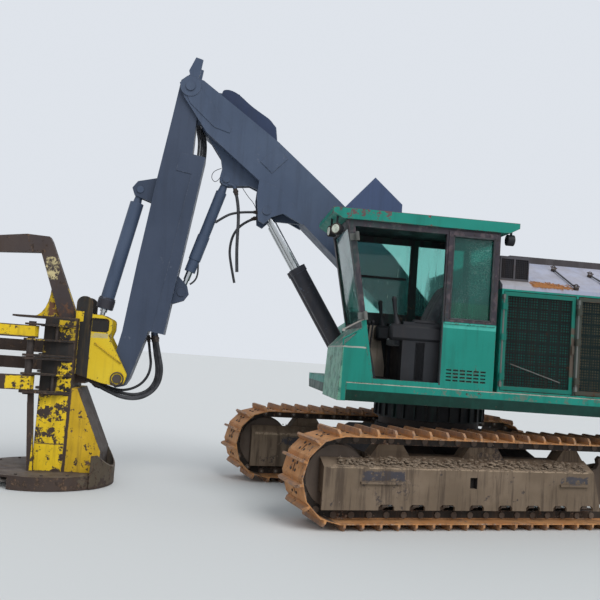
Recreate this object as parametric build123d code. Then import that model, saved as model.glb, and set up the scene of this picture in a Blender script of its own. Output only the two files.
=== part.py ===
from build123d import *
import os
from math import atan2, cos, hypot, pi, radians, sin, tan

# Tracked feller buncher, in millimetres. +X is forward, +Y is the machine's left (cab side), +Z is up.
# The origin is on the swing axis at ground level. The upper body looks along +X; the tracks below it
# are turned about the swing axis, as the machine was parked.

os.makedirs("parts", exist_ok=True)

# Tracks
track_turn = 12.4            # degrees from the upper body's heading to the tracks'
gauge = 2540.0               # between the two tracks' centre lines
shoe_width = 610.0
link_pitch = 190.0
run_links = 18               # links along each straight run
turn_links = 6               # links round half a wheel
link_above = 40.0            # pin centre to the shoe's underside
link_below = 45.0            # pin centre to the running face
shoe_plate = 12.0
grouser_height = 65.0
grouser_place = 30.0         # from the shoe's leading edge
grouser_thick = 26.0
grouser_clip = 35.0          # cut off each end's top corner
slot_place = 90.0            # the slot that lets mud out of a shoe, from its leading edge
slot_length = 80.0
slot_half = 17.0
rail_inner = 42.0            # half the gap between the two link rails
rail_outer = 88.0
seat_gap = 0.3               # between touching pieces that are not joined

pin_ring = link_pitch / 2 / sin(pi / (2 * turn_links))
wheel_height = pin_ring + link_above + shoe_plate + grouser_height
wheel_reach = run_links * link_pitch / 2
tread_radius = pin_ring * cos(pi / (2 * turn_links)) - link_below - seat_gap
run_floor = wheel_height - pin_ring + link_below

# Track frames
frame_outer = 235.0          # outer face of a side frame from the track's centre line
frame_inner = 170.0
frame_wall = 30.0
frame_bottom = 190.0
frame_channel_top = 350.0
frame_ridge = 597.0
frame_top = 700.0
frame_front = 1890.0
frame_rear = -1330.0
rear_slant = 105.0           # how far the frame's rear end leans forward up to its ridge
yoke_gap = 105.0             # half the slot that the idler runs in
roller_radius = 85.0
roller_shaft = 32.0          # half the square collars at a roller's ends
roller_count = 8
roller_spacing = 337.0
roller_first = -1147.0
arch_half = 85.0             # half the width of the arches over the rollers
arch_height = 55.0
arch_corner = 25.0
slides = ((-1110.0, -926.0), (-102.0, 237.0), (1000.0, 1270.0))   # rear and front of each slide's top
slide_slope = 90.0
window = (212.0, 294.0, 407.0, 520.0)   # the pocket in the frame's side: rear, front, bottom, top
step_proud = 25.0            # the ledges on the frame's side
# rear, front, bottom and top of the ledges
ledges = ((-1150.0, -790.0, 447.0, 470.0), (1060.0, 1505.0, 443.0, 466.0))
final_drive_radius = 190.0

# Car body and swing bearing
pedestal_radius = 640.0
pedestal_bottom = 600.0
pedestal_top = 900.0
leg_place = 620.0            # cross legs, ahead of and behind the swing axis
leg_width = 320.0
leg_bottom = 450.0
leg_top = 680.0
bearing_radius = 600.0
race_radius = 480.0          # where the turning race runs inside the fixed ring
bearing_top = 980.0

# Deck
deck_bottom = 1210.0
deck_top = 1400.0
deck_half = 1500.0
deck_front = 1300.0
deck_rear = -1950.0
rail_light = 75.0            # the folded band along the deck's edge
belly_inset = 50.0           # how far the band below it leans in
turret_radius = 640.0
turret_ribs = 30
rib_half = 10.0
rib_proud = 24.0
tank_rear = 300.0
tank_front = 1050.0
tank_top = 2150.0
tank_slope = (220.0, 170.0)  # length and height cut off the tank's front top edge
tank_inner = -470.0

# Cab
cab_left = deck_half
cab_right = 480.0
cab_rear = -230.0
cab_foot = 1025.0            # where the cab's front meets the deck
cab_knee = (1170.0, 1960.0)  # foot of the windshield
cab_brow = 1400.0            # top of the windshield
cab_top = 3055.0
cab_wall = 50.0
cab_floor = 1440.0
door_rear = 345.0
hinge_out = 48.0             # the empty door hinges' axis, out from the cab's side, clear of the roof
roof_front = 1555.0
roof_rear = -420.0
roof_thick = 110.0
roof_skirt = 100.0           # how far the roof's lower edge draws in, front and rear
roof_side = 30.0
box_front = 1385.0
box_brow = (1360.0, 1755.0)
rail_radius = 9.0
glass = 8.0
window_frame = 45.0          # width of the raised frame round the side window
window_proud = 12.0
quarter_x = (cab_rear + 60, door_rear - 65)
quarter_z = (2110.0, 2985.0)
louvre_columns = 6
louvre_rows = 4
louvre_first = (-145.0, 1480.0)
louvre_pitch = (73.0, 35.0)
louvre_size = (55.0, 14.0)
louvre_depth = 15.0
far_post = (385.0, 470.0)    # the post between the two windows on the cab's right
far_sill = 2178.0
lamp_radius = 58.0
lamp_drop = 108.0            # from the roof's underside to a front lamp's centre
# place from the swing axis, drop, and the way it faces, in degrees from straight ahead
lamps_at = ((1500.0, cab_left - 35, lamp_drop, 48.0), (1520.0, cab_left - 290, lamp_drop - 10, 8.0),
            (roof_rear + 60, cab_left - 60, 60.0, 180.0))

# Engine house
house_front = -290.0
house_rear = -1950.0
house_inset = 40.0           # the house's walls, in from the deck's edge
house_half = deck_half - house_inset
house_top = 2480.0
house_wall = 40.0
hood_front = -610.0
hood_ridge = 2865.0
hood_ridge_half = 800.0
hood_cap = 72.0              # thickness of the flat cap along the hood's top
hood_eave = 40.0             # the hood's upright edge over the house's wall
screen_half = house_half - 100.0
screen_top = 2840.0
screen_foot = 2585.0         # where the screen box's sloping foot meets its side
screen_windows = ((-600.0, -460.0), (-440.0, -305.0))
screen_window_z = (2605.0, 2812.0)
door_thick = 40.0
door_gap = 6.0
door_stile = 38.0
door_rail = 44.0
grille_back = 12.0           # from the door's inner face to the grille
grille_thick = 6.0
grille_bar = 14.0
grille_holes = (6, 8)
latch_size = (26.0, 18.0, 90.0)
latch_height = 1845.0
door_split = -1120.0
post = 24.0
weight_rear = -2400.0
weight_bottom = 1230.0
weight_top = 2300.0
weight_half = house_half - 20.0
weight_corner = 300.0

# Boom, stick and head linkage, as points in X and Z
boom_foot = (150.0, 2050.0)
elbow = (3170.0, 4700.0)
wrist = (3720.0, 1210.0)
hoist_base = (1080.0, 1620.0)
hoist_eye = (2160.0, 3300.0)
stick_base = (2665.0, 3660.0)
stick_eye = (3086.0, 2266.0)
tilt_base = (3660.0, 3440.0)
tilt_eye = (4000.0, 1810.0)
pin_gap = 0.05               # radial running clearance on the pins
side_gap = 5.0               # between a moving piece and the ears beside it

boom_half = 190.0
boom_ear = 35.0
boom_slot = 370.0            # from the elbow pin to the end of the slot between the ears
guard_inner = 40.0           # near face of the hose guard on the boom's back
stick_half = boom_half - boom_ear - side_gap
foot_pin = 60.0
elbow_pin = 55.0
wrist_pin = 50.0
ear = 40.0                   # thickness of the brackets' ears

hoist_y = 125.0
hoist_barrel = 95.0
hoist_rod = 45.0
hoist_length = 1240.0        # from the base pin to the barrel's open end
hoist_inside = 540.0         # how much of the rod is in the barrel as the machine stands
cylinder_pin = 40.0
cylinder_bottom = 12.0       # thickness of a barrel's closed end
eye_half = 30.0
eye_radius = 58.0
eye_reach = 160.0            # from an eye's centre to the full round of the rod or barrel
gland_proud = 8.0            # the collar at a barrel's open end, or its sleeve
gland_length = 70.0
lug_ear = 25.0
doubler = 8.0                # thickness of the plates welded on the boom's and the stick's sides
lug_outer = boom_half + doubler

stick_cyl_barrel = 65.0
stick_cyl_rod = 38.0
stick_cyl_length = 1190.0
stick_cyl_inside = 935.0
stick_cyl_sleeve = (730.0, 1040.0)   # where its thicker length starts and ends

tilt_barrel = 80.0
tilt_rod = 42.0
tilt_length = 1470.0
tilt_inside = 1170.0

# Felling head
saw_centre = 4450.0
saw_radius = 700.0
saw_bottom = 62.0
saw_thick = 26.0
saw_teeth = 18
housing_radius = 750.0
housing_bottom = 6.0
housing_top = 150.0
housing_wall = 18.0
guard_top = 366.0            # debris guard behind the housing
guard_front = 3885.0
guard_slope = ((3690.0, 205.0), (3828.0, guard_top))
tower_rear = 4195.0
flank_top = 1079.0           # where the tower's slanting back starts
flank_foot = (3815.0, 395.0)
flank_plate = 22.0
top_plate = 20.0
top_plate_front = 4950.0
spine_top = 2125.0
spine_rear = 4062.0
spine_front = 4242.0
pocket_depth = 22.0          # the hollow in each cheek round the tilt pin
pocket_x = (3862.0, 4077.0)
pocket_z = (1727.0, 1882.0)
hose_block = ((4085.0, tower_rear), (-125.0, 125.0), (1130.0, 1235.0))
tower_front = 4540.0
tower_half = 330.0
tower_top = 1860.0
tower_wall = 30.0
arm_pin = (4660.0, 400.0)
arm_pin_radius = 40.0
# name, side (+1 left), bottom, top
arm_levels = [
    ("lower_grab_arm", 1, 1036.0, 1196.0),
    ("lower_return_arm", -1, 1228.0, 1368.0),
    ("upper_return_arm", -1, 1436.0, 1576.0),
    ("upper_grab_arm", 1, 1608.0, 1744.0),
]

# Hoses: how far to the left, radius, and the route's points in X and Z
boom_hose_front = (60.0, 20.0, [(2545, 3530), (2508, 3414), (2482, 3200), (2480, 2983), (2472, 2768), (2452, 2560)])
boom_hose_rear = (-75.0, 16.0, [(2280, 3247), (2420, 3180), (2530, 3035), (2562, 2850), (2538, 2690), (2470, 2440)])
wrist_hose_left = (90.0, 20.0, [(3326, 1718), (3282, 1545), (3222, 1330), (3262, 1130), (3430, 995), (3640, 985),
                                (3830, 1060), (3985, 1140)])
wrist_hose_right = (-40.0, 20.0, [(3370, 1716), (3336, 1530), (3296, 1370), (3296, 1220), (3366, 1090), (3500, 1025),
                                  (3660, 1030), (3830, 1080), (3985, 1140)])
fitting_wider = 4.0          # a hose fitting's radius over its hose's


def flat(points, lift, plane):
    """A closed outline's face, lift away from the origin along the plane's normal."""
    places = {
        "xz": [(a, lift, b) for a, b in points],
        "xy": [(a, b, lift) for a, b in points],
        "yz": [(lift, a, b) for a, b in points],
    }[plane]
    return Face(Wire.make_polygon([Vector(*p) for p in places]))


def prism(points, low, high, plane="xz"):
    """An outline carried straight from low to high across its plane."""
    step = {"xz": Vector(0, high - low, 0), "xy": Vector(0, 0, high - low), "yz": Vector(high - low, 0, 0)}
    return Solid.extrude(flat(points, low, plane), step[plane])


def block(x, y, z):
    """A box from three (low, high) pairs."""
    return prism([(x[0], z[0]), (x[1], z[0]), (x[1], z[1]), (x[0], z[1])], y[0], y[1])


def bar(start, end, radius):
    """A round bar between two points."""
    way = Vector(*end) - Vector(*start)
    return Solid.make_cylinder(radius, way.length, Plane(origin=start, z_dir=way))


def cross_pin(place, radius, half):
    """A round pin along Y through a point of the XZ plane."""
    return bar((place[0], -half, place[1]), (place[0], half, place[1]), radius)


def rounded(points, radii, low, high, plane="xz"):
    """A prism whose corners are rounded; a radius of zero leaves a corner sharp."""
    solid = prism(points, low, high, plane)
    for (a, b), radius in zip(points, radii):
        if radius:
            def at_corner(edge):
                c = edge.center()
                pair = {"xz": (c.X, c.Z), "xy": (c.X, c.Y), "yz": (c.Y, c.Z)}[plane]
                return hypot(pair[0] - a, pair[1] - b) < 0.5
            solid = solid.fillet(radius, solid.edges().filter_by(at_corner))
    return solid


def frame_of(origin, along):
    """A function that takes lengths along and across a line to the XZ plane."""
    angle = atan2(along[1] - origin[1], along[0] - origin[0])

    def place(u, v):
        return (origin[0] + u * cos(angle) - v * sin(angle), origin[1] + u * sin(angle) + v * cos(angle))
    return place


def hose(shape):
    """A hose of straight runs joined by arcs, each as wide as its two runs allow."""
    y, radius, route = shape
    points = [Vector(x, y, z) for x, z in route]
    radii = []
    for before, corner, after in zip(points, points[1:], points[2:]):
        turn = (corner - before).get_angle(after - corner)
        shorter = min((corner - before).length, (after - corner).length)
        radii.append(0.45 * shorter / tan(radians(turn) / 2))
    print("hose radii", [round(r) for r in radii])
    path = FilletPolyline(*points, radius=radii)
    ring = Plane(origin=points[0], z_dir=points[1] - points[0]) * Circle(radius)
    tube = sweep(ring, path=path).solid()
    print("hose volume over section times length", round(tube.volume / (pi * radius ** 2 * path.length), 4))
    return tube


def fitting(shape, end, reach):
    """The rigid sleeve that a hose's first (0) or last (-1) point meets, reaching back in line with it."""
    y, radius, route = shape
    near, other = (route[0], route[1]) if end == 0 else (route[-1], route[-2])
    way = Vector(near[0] - other[0], 0, near[1] - other[1]).normalized()
    start = Vector(near[0], y, near[1])
    return bar(tuple(start), tuple(start + way * reach), radius + fitting_wider)


def save(name, *pieces):
    """Write a node's solids to its own file."""
    solids = []
    for piece in pieces:
        solids += list(piece.solids())
    whole = solids[0] if len(solids) == 1 else Compound(children=solids)
    whole.label = name
    export_step(whole, f"parts/{name}.step")


def turned(shape):
    """A piece of the undercarriage, turned with the tracks."""
    return shape.rotate(Axis.Z, track_turn)


# Track loops
def loop_pins():
    """Pin centres round one loop, from the wheels' height, clockwise seen from the left."""
    pins = [(-wheel_reach + i * link_pitch, pin_ring) for i in range(run_links)]
    step = pi / turn_links
    pins += [(wheel_reach + pin_ring * cos(pi / 2 - i * step), pin_ring * sin(pi / 2 - i * step))
             for i in range(turn_links)]
    pins += [(wheel_reach - i * link_pitch, -pin_ring) for i in range(run_links)]
    pins += [(-wheel_reach + pin_ring * cos(-pi / 2 - i * step), pin_ring * sin(-pi / 2 - i * step))
             for i in range(turn_links)]
    return pins


def loop_outline(offset):
    """The loop's outline, offset out from the pins."""
    pins = loop_pins()
    points = []
    for i, pin in enumerate(pins):
        before, after = pins[i - 1], pins[(i + 1) % len(pins)]
        way_in = atan2(pin[1] - before[1], pin[0] - before[0])
        way_out = atan2(after[1] - pin[1], after[0] - pin[0])
        turn = (way_in - way_out + pi) % (2 * pi) - pi
        middle = way_out + turn / 2 + pi / 2
        reach = offset / cos(turn / 2)
        if abs(turn) > 0.01:
            points.append((pin[0] + reach * cos(middle), pin[1] + reach * sin(middle) + wheel_height))
    return points


def band(outer, inner, low, high):
    """A closed band between two outlines."""
    return prism(outer, low, high) - prism(inner, low, high)


def over_link(pin, way, middle):
    """A function that takes a length along a link, across it and out from its pins to a point."""
    def place(along, across, height):
        return Vector(pin[0] + along * cos(way) - height * sin(way), middle + across,
                      pin[1] + along * sin(way) + height * cos(way) + wheel_height)
    return place


def grouser(place):
    """The bar across one shoe, with its top corners clipped."""
    half, top = shoe_width / 2, link_above + shoe_plate + grouser_height
    outline = [(-half, link_above), (-half, top - grouser_clip), (-half + grouser_clip, top),
               (half - grouser_clip, top), (half, top - grouser_clip), (half, link_above)]
    face = Face(Wire.make_polygon([place(grouser_place, across, height) for across, height in outline]))
    return Solid.extrude(face, place(grouser_thick, 0, 0) - place(0, 0, 0))


def mud_slot(place):
    """What is cut from the middle of one shoe."""
    ends = (slot_place, slot_place + slot_length)
    corners = [(ends[0], -slot_half), (ends[1], -slot_half), (ends[1], slot_half), (ends[0], slot_half)]
    face = Face(Wire.make_polygon([place(along, across, link_above - 1) for along, across in corners]))
    return Solid.extrude(face, place(0, 0, shoe_plate + 2) - place(0, 0, 0))


def track_loop(middle):
    """One track: shoes with their grousers on two rails of links."""
    under_shoe = loop_outline(link_above)
    running_face = loop_outline(-link_below)
    shoes = band(loop_outline(link_above + shoe_plate), under_shoe, middle - shoe_width / 2, middle + shoe_width / 2)
    pins = loop_pins()
    places = [over_link(pin, atan2(after[1] - pin[1], after[0] - pin[0]), middle)
              for pin, after in zip(pins, pins[1:] + pins[:1])]
    shoes = shoes.fuse(*[grouser(place) for place in places]).cut(*[mud_slot(place) for place in places])
    rails = [band(under_shoe, running_face, middle + low, middle + high)
             for low, high in ((rail_inner, rail_outer), (-rail_outer, -rail_inner))]
    return shoes + rails[0] + rails[1]


def track_frame(middle, out):
    """A side frame: an inverted channel with a yoke for the idler and arches over the rollers."""
    section = [(-frame_inner, frame_bottom), (-frame_inner, frame_ridge), (-frame_inner + 60, frame_top),
               (60, frame_top), (frame_outer, frame_ridge), (frame_outer, frame_bottom),
               (frame_outer - frame_wall, frame_bottom), (frame_outer - frame_wall, frame_channel_top),
               (-frame_inner + frame_wall, frame_channel_top), (-frame_inner + frame_wall, frame_bottom)]
    section = [(middle + out * y, z) for y, z in section]
    body = prism(section, frame_rear, frame_front, "yz")
    slot_rear = wheel_reach - tread_radius - 30
    slot = [middle - yoke_gap, middle + yoke_gap]
    body -= block((slot_rear, frame_front + 1), slot, (0, frame_top + 1))
    rear_end = [(frame_rear - 1, frame_bottom), (frame_rear, frame_bottom), (frame_rear + rear_slant, frame_ridge),
                (frame_rear + rear_slant, frame_top + 1), (frame_rear - 1, frame_top + 1)]
    wide = (middle - frame_outer - 1, middle + frame_outer + 1)
    body -= prism(rear_end, *wide)
    arch = [(-arch_half, -1), (-arch_half, arch_height - arch_corner), (-arch_half + arch_corner, arch_height),
            (arch_half - arch_corner, arch_height), (arch_half, arch_height - arch_corner), (arch_half, -1)]
    for i in range(roller_count):
        x = roller_first + i * roller_spacing
        body -= prism([(x + a, frame_bottom + b) for a, b in arch], *wide)
    skin = sorted([middle + out * (frame_outer - 60), middle + out * (frame_outer + 1)])
    body -= block(window[:2], skin, window[2:])
    proud = sorted([middle + out * (frame_outer - 1), middle + out * (frame_outer + step_proud)])
    for rear, front, low, high in ledges:
        body += block((rear, front), proud, (low, high))
    root = frame_rear + rear_slant + 80
    arm = [(root, 300), (root, 580), (-wheel_reach, wheel_height + final_drive_radius),
           (-wheel_reach - 100, wheel_height), (-wheel_reach, wheel_height - final_drive_radius)]
    inner = sorted([middle - out * frame_inner, middle - out * (frame_inner - 50)])
    body += prism(arm, inner[0], inner[1])
    slide_top = wheel_height + pin_ring - link_below - seat_gap
    for rear, front in slides:
        slide = [(rear - slide_slope, frame_top - 20), (front + slide_slope, frame_top - 20), (front, slide_top),
                 (rear, slide_top)]
        body += prism(slide, middle - rail_outer, middle + rail_outer)
    return body


def idler(middle):
    """A flanged front wheel on its shaft."""
    wheel = bar((wheel_reach, middle - rail_outer, wheel_height),
                (wheel_reach, middle + rail_outer, wheel_height), tread_radius)
    wheel += bar((wheel_reach, middle - rail_inner + 3, wheel_height),
                 (wheel_reach, middle + rail_inner - 3, wheel_height), tread_radius + 22)
    return wheel + bar((wheel_reach, middle - yoke_gap, wheel_height),
                       (wheel_reach, middle + yoke_gap, wheel_height), 60)


def sprocket(middle, out):
    """The toothed drive wheel on its final drive."""
    count = 2 * turn_links
    points = []
    for i in range(count):
        a = (i + 0.5) * 2 * pi / count
        for turn, radius in ((-0.16, 312.0), (-0.07, 352.0), (0.07, 352.0), (0.16, 312.0)):
            points.append((-wheel_reach + radius * cos(a + turn), wheel_height + radius * sin(a + turn)))
    wheel = prism(points, middle - 30, middle + 30)
    near = middle - out * (frame_inner - 50)
    far = middle + out * 150
    hub = bar((-wheel_reach, near, wheel_height), (-wheel_reach, far, wheel_height), final_drive_radius)
    cap = bar((-wheel_reach, far, wheel_height), (-wheel_reach, far + out * 50, wheel_height), 120)
    return wheel + hub + cap


def rollers(middle, out):
    """The bottom rollers with their square collars, under the channel."""
    found = []
    ends = sorted([middle - out * (frame_inner - frame_wall), middle + out * (frame_outer - frame_wall)])
    z = run_floor + roller_radius + seat_gap
    for i in range(roller_count):
        x = roller_first + i * roller_spacing
        wheel = bar((x, middle - rail_outer, z), (x, middle + rail_outer, z), roller_radius)
        found.append(wheel + block((x - roller_shaft, x + roller_shaft), ends, (z - roller_shaft, z + roller_shaft)))
    return found


def build_undercarriage():
    """Everything below the swing bearing."""
    all_rollers, idlers, sprockets = [], [], []
    for side, out in (("left", 1), ("right", -1)):
        middle = out * gauge / 2
        save(f"track_loop_{side}", turned(track_loop(middle)))
        save(f"track_frame_{side}", turned(track_frame(middle, out)))
        all_rollers += [turned(r) for r in rollers(middle, out)]
        idlers.append(turned(idler(middle)))
        sprockets.append(turned(sprocket(middle, out)))
    save("track_rollers", *all_rollers)
    save("front_idlers", *idlers)
    save("drive_sprockets", *sprockets)
    reach = gauge / 2 - frame_inner
    body = bar((0, 0, pedestal_bottom), (0, 0, pedestal_top), pedestal_radius)
    for x in (-leg_place, leg_place):
        leg = [(-reach, leg_bottom), (-reach, leg_top), (-reach * 0.55, pedestal_top - 60),
               (reach * 0.55, pedestal_top - 60), (reach, leg_top), (reach, leg_bottom),
               (reach * 0.6, pedestal_bottom - 60), (-reach * 0.6, pedestal_bottom - 60)]
        body += prism(leg, x - leg_width / 2, x + leg_width / 2, "yz")
    save("car_body", turned(body))
    ring = bar((0, 0, pedestal_top), (0, 0, bearing_top), bearing_radius)
    save("swing_bearing", turned(ring - bar((0, 0, 0), (0, 0, 2000), race_radius)))


def build_deck():
    """The deck with its turret, the brackets on it, the counterweight and the tank."""
    belly = deck_half - belly_inset
    section = [(-deck_half, deck_top - rail_light), (-deck_half, deck_top), (deck_half, deck_top),
               (deck_half, deck_top - rail_light), (belly, deck_bottom), (-belly, deck_bottom)]
    deck = prism(section, deck_rear, deck_front, "yz")
    turret = bar((0, 0, bearing_top + side_gap), (0, 0, deck_bottom), turret_radius)
    race = bar((0, 0, pedestal_top + side_gap), (0, 0, bearing_top + side_gap), race_radius - seat_gap)
    rib = block((turret_radius - 10, turret_radius + rib_proud), (-rib_half, rib_half),
                (bearing_top + 4 * side_gap, deck_bottom))
    ribs = [rib.rotate(Axis.Z, 360 * i / turret_ribs) for i in range(turret_ribs)]
    save("deck", (deck + turret + race).fuse(*ribs))

    foot = [(-180, deck_top), (520, deck_top), (boom_foot[0] + 130, boom_foot[1] + 60),
            (boom_foot[0] + 60, boom_foot[1] + 140), (boom_foot[0] - 60, boom_foot[1] + 140),
            (boom_foot[0] - 130, boom_foot[1] + 60)]
    low = boom_half + side_gap
    ears = [prism(foot, low, low + ear), prism(foot, -low - ear, -low)]
    ears = [e - cross_pin(boom_foot, foot_pin + pin_gap, 400) for e in ears]
    save("boom_foot_bracket", *ears)
    save("boom_foot_pin", cross_pin(boom_foot, foot_pin, low + ear + 20))

    base = [(hoist_base[0] - 130, deck_top), (hoist_base[0] + 130, deck_top),
            (hoist_base[0] + 80, hoist_base[1] + 40), (hoist_base[0] + 40, hoist_base[1] + 85),
            (hoist_base[0] - 40, hoist_base[1] + 85), (hoist_base[0] - 80, hoist_base[1] + 40)]
    plates = []
    for side in (-1, 1):
        for y in (hoist_y - eye_half - side_gap - lug_ear, hoist_y + eye_half + side_gap):
            ends = sorted([side * y, side * (y + lug_ear)])
            plates.append(prism(base, ends[0], ends[1]) - cross_pin(hoist_base, cylinder_pin + pin_gap, 400))
    save("hoist_bracket", *plates)
    save("hoist_base_pin", cross_pin(hoist_base, cylinder_pin, hoist_y + eye_half + side_gap + lug_ear + 10))

    weight = [(deck_rear, -weight_half), (weight_rear + weight_corner, -weight_half),
              (weight_rear, -weight_half + weight_corner), (weight_rear, weight_half - weight_corner),
              (weight_rear + weight_corner, weight_half), (deck_rear, weight_half)]
    save("counterweight", rounded(weight, (0, 200, 200, 200, 200, 0), weight_bottom, weight_top, "xy"))

    tank = [(tank_rear, deck_top), (tank_front, deck_top), (tank_front, tank_top - tank_slope[1]),
            (tank_front - tank_slope[0], tank_top), (tank_rear, tank_top)]
    save("side_tank", rounded(tank, (0, 0, 60, 60, 60), -deck_half, tank_inner))


def cab_outline(inset=0.0):
    """The cab's side outline, drawn in from its outer faces."""
    slope = tan(atan2(cab_knee[0] - cab_foot, cab_knee[1] - deck_top))
    bottom = cab_floor if inset else deck_top
    foot = cab_foot + (bottom - deck_top) * slope
    return [(cab_rear + inset, bottom), (foot - inset, bottom), (cab_knee[0] - inset, cab_knee[1]),
            (cab_brow - inset, cab_top), (cab_rear + inset, cab_top)]


def front_line(z):
    """How far forward the windshield's outer face lies at a height."""
    return cab_knee[0] + (cab_brow - cab_knee[0]) * (z - cab_knee[1]) / (cab_top - cab_knee[1])


def build_cab():
    """The cab's shell, roof, glass, seat and the nose box ahead of it."""
    shell = prism(cab_outline(), cab_right, cab_left)
    shell -= prism(cab_outline(cab_wall), cab_right + cab_wall, cab_left - cab_wall)
    sill, lintel = cab_floor + 10, cab_top - 65
    doorway = [(door_rear, sill), (cab_foot + 5, sill), (cab_knee[0] - 40, cab_knee[1] + 40),
               (front_line(lintel) - 70, lintel), (door_rear, lintel)]
    shell -= prism(doorway, cab_left - cab_wall - 1, cab_left + 1)
    raised = block((quarter_x[0] - window_frame, quarter_x[1] + window_frame), (cab_left - 1, cab_left + window_proud),
                   (quarter_z[0] - window_frame, quarter_z[1] + window_frame))
    shell += raised
    shell -= block(quarter_x, (cab_left - cab_wall - 1, cab_left + window_proud + 1), quarter_z)
    front_low, front_high = 2010.0, quarter_z[1]
    side_low, side_high = cab_right + 80, cab_left - 80
    shell -= block((1060, 1600), (side_low, side_high), (front_low, front_high))
    right_rear = [(quarter_x[0], far_sill), (far_post[0], far_sill), (far_post[0], front_high),
                  (quarter_x[0], front_high)]
    right_front = [(far_post[1], far_sill), (front_line(far_sill) - 80, far_sill),
                   (front_line(front_high) - 80, front_high), (far_post[1], front_high)]
    for opening in (right_rear, right_front):
        shell -= prism(opening, cab_right - 1, cab_right + cab_wall + 1)
    rear_window = (quarter_z[0], 2960.0)
    shell -= block((cab_rear - 1, cab_rear + cab_wall + 1), (side_low + 40, side_high - 40), rear_window)
    for column in range(louvre_columns):
        for row in range(louvre_rows):
            x = louvre_first[0] + column * louvre_pitch[0]
            z = louvre_first[1] + row * louvre_pitch[1]
            shell -= block((x, x + louvre_size[0]), (cab_left - louvre_depth, cab_left + 1), (z, z + louvre_size[1]))
    save("cab_shell", shell)

    windshield = [(front_line(front_low) - 24, front_low), (front_line(front_low) - 16, front_low),
                  (front_line(front_high) - 16, front_high), (front_line(front_high) - 24, front_high)]
    panes = [prism(windshield, side_low, side_high),
             block(quarter_x, (cab_left - 28, cab_left - 28 + glass), quarter_z),
             prism(right_rear, cab_right + 20, cab_right + 20 + glass),
             prism(right_front, cab_right + 20, cab_right + 20 + glass),
             block((cab_rear + 20, cab_rear + 20 + glass), (side_low + 40, side_high - 40), rear_window)]
    save("cab_glass", *panes)

    roof_outline = [(roof_rear + roof_skirt, cab_top), (roof_front - roof_skirt, cab_top),
                    (roof_front, cab_top + roof_thick / 2), (roof_front, cab_top + roof_thick),
                    (roof_rear, cab_top + roof_thick), (roof_rear, cab_top + roof_thick / 2)]
    roof = prism(roof_outline, cab_right - roof_side, cab_left + roof_side)
    save("cab_roof", roof)

    lamps = []
    for x, y, drop, facing in lamps_at:
        way = Vector(cos(radians(facing)), sin(radians(facing)), 0)
        centre = Vector(x, y, cab_top - drop)
        head = bar(tuple(centre - way * 45), tuple(centre + way * 25), lamp_radius)
        stem = block((x - 10, x + 10), (y - 10, y + 10), (cab_top - drop, cab_top + roof_thick / 2)) - roof
        lamps.append(head + stem)
    save("work_lamps", *lamps)

    nose = [(cab_foot, deck_top), cab_knee, box_brow, (box_front, deck_bottom), (deck_front, deck_bottom),
            (deck_front, deck_top)]
    y = cab_left - 20
    top_of_post = (box_brow[0] - 6, y, box_brow[1] + 78)
    handrail = (bar((box_brow[0] - 10, y, box_brow[1] - 60), top_of_post, rail_radius)
                + bar(top_of_post, (cab_knee[0] + 5, y, cab_knee[1] - 18), rail_radius))
    save("nose_box", prism(nose, cab_right, cab_left) + handrail)

    top = (1295.0, 2880.0)
    low = (1157.0, 2080.0)
    at = frame_of(low, top)
    span = hypot(top[0] - low[0], top[1] - low[1])
    hinge_y = cab_left + hinge_out
    hinges = []
    for u in (0.0, span):
        a, b = at(u - 45, 0), at(u + 45, 0)
        knuckle = bar((a[0], hinge_y, a[1]), (b[0], hinge_y, b[1]), 20)
        leaf = prism([at(u - 35, 0), at(u - 35, -70), at(u + 35, -70), at(u + 35, 0)], cab_left, cab_left + 14)
        web = prism([at(u - 35, 10), at(u - 35, -10), at(u + 35, -10), at(u + 35, 10)], cab_left, hinge_y)
        a, b = at(u - 60, 0), at(u + 60, 0)
        hinges.append(knuckle + leaf + web - bar((a[0], hinge_y, a[1]), (b[0], hinge_y, b[1]), 8))
    save("door_hinges", *hinges)

    middle = (cab_left + cab_right) / 2
    base = block((250, 700), (middle - 200, middle + 200), (cab_floor, 1800))
    consoles = [block((180, 720), (middle + s * 330 - 60, middle + s * 330 + 60), (cab_floor, 2060)) for s in (-1, 1)]
    save("seat_base", base, *consoles)
    seat = rounded([(190, 1800), (760, 1800), (770, 1910), (480, 1930), (440, 2154), (365, 2299), (225, 2500),
                    (110, 2530), (50, 2450), (140, 1920)],
                   (20, 30, 45, 60, 0, 0, 40, 40, 40, 0), middle - 250, middle + 250)
    save("operator_seat", seat)


def grille(width, height):
    """A door's screen: a thin plate with square holes between bars."""
    y = house_half - door_thick + grille_back
    plate = block(width, (y, y + grille_thick), height)
    step_x = (width[1] - width[0] - grille_bar) / grille_holes[0]
    step_z = (height[1] - height[0] - grille_bar) / grille_holes[1]
    holes = []
    for i in range(grille_holes[0]):
        for k in range(grille_holes[1]):
            x = width[0] + grille_bar + i * step_x
            z = height[0] + grille_bar + k * step_z
            holes.append(block((x, x + step_x - grille_bar), (y - 1, y + grille_thick + 1),
                               (z, z + step_z - grille_bar)))
    return plate.cut(*holes)


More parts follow.
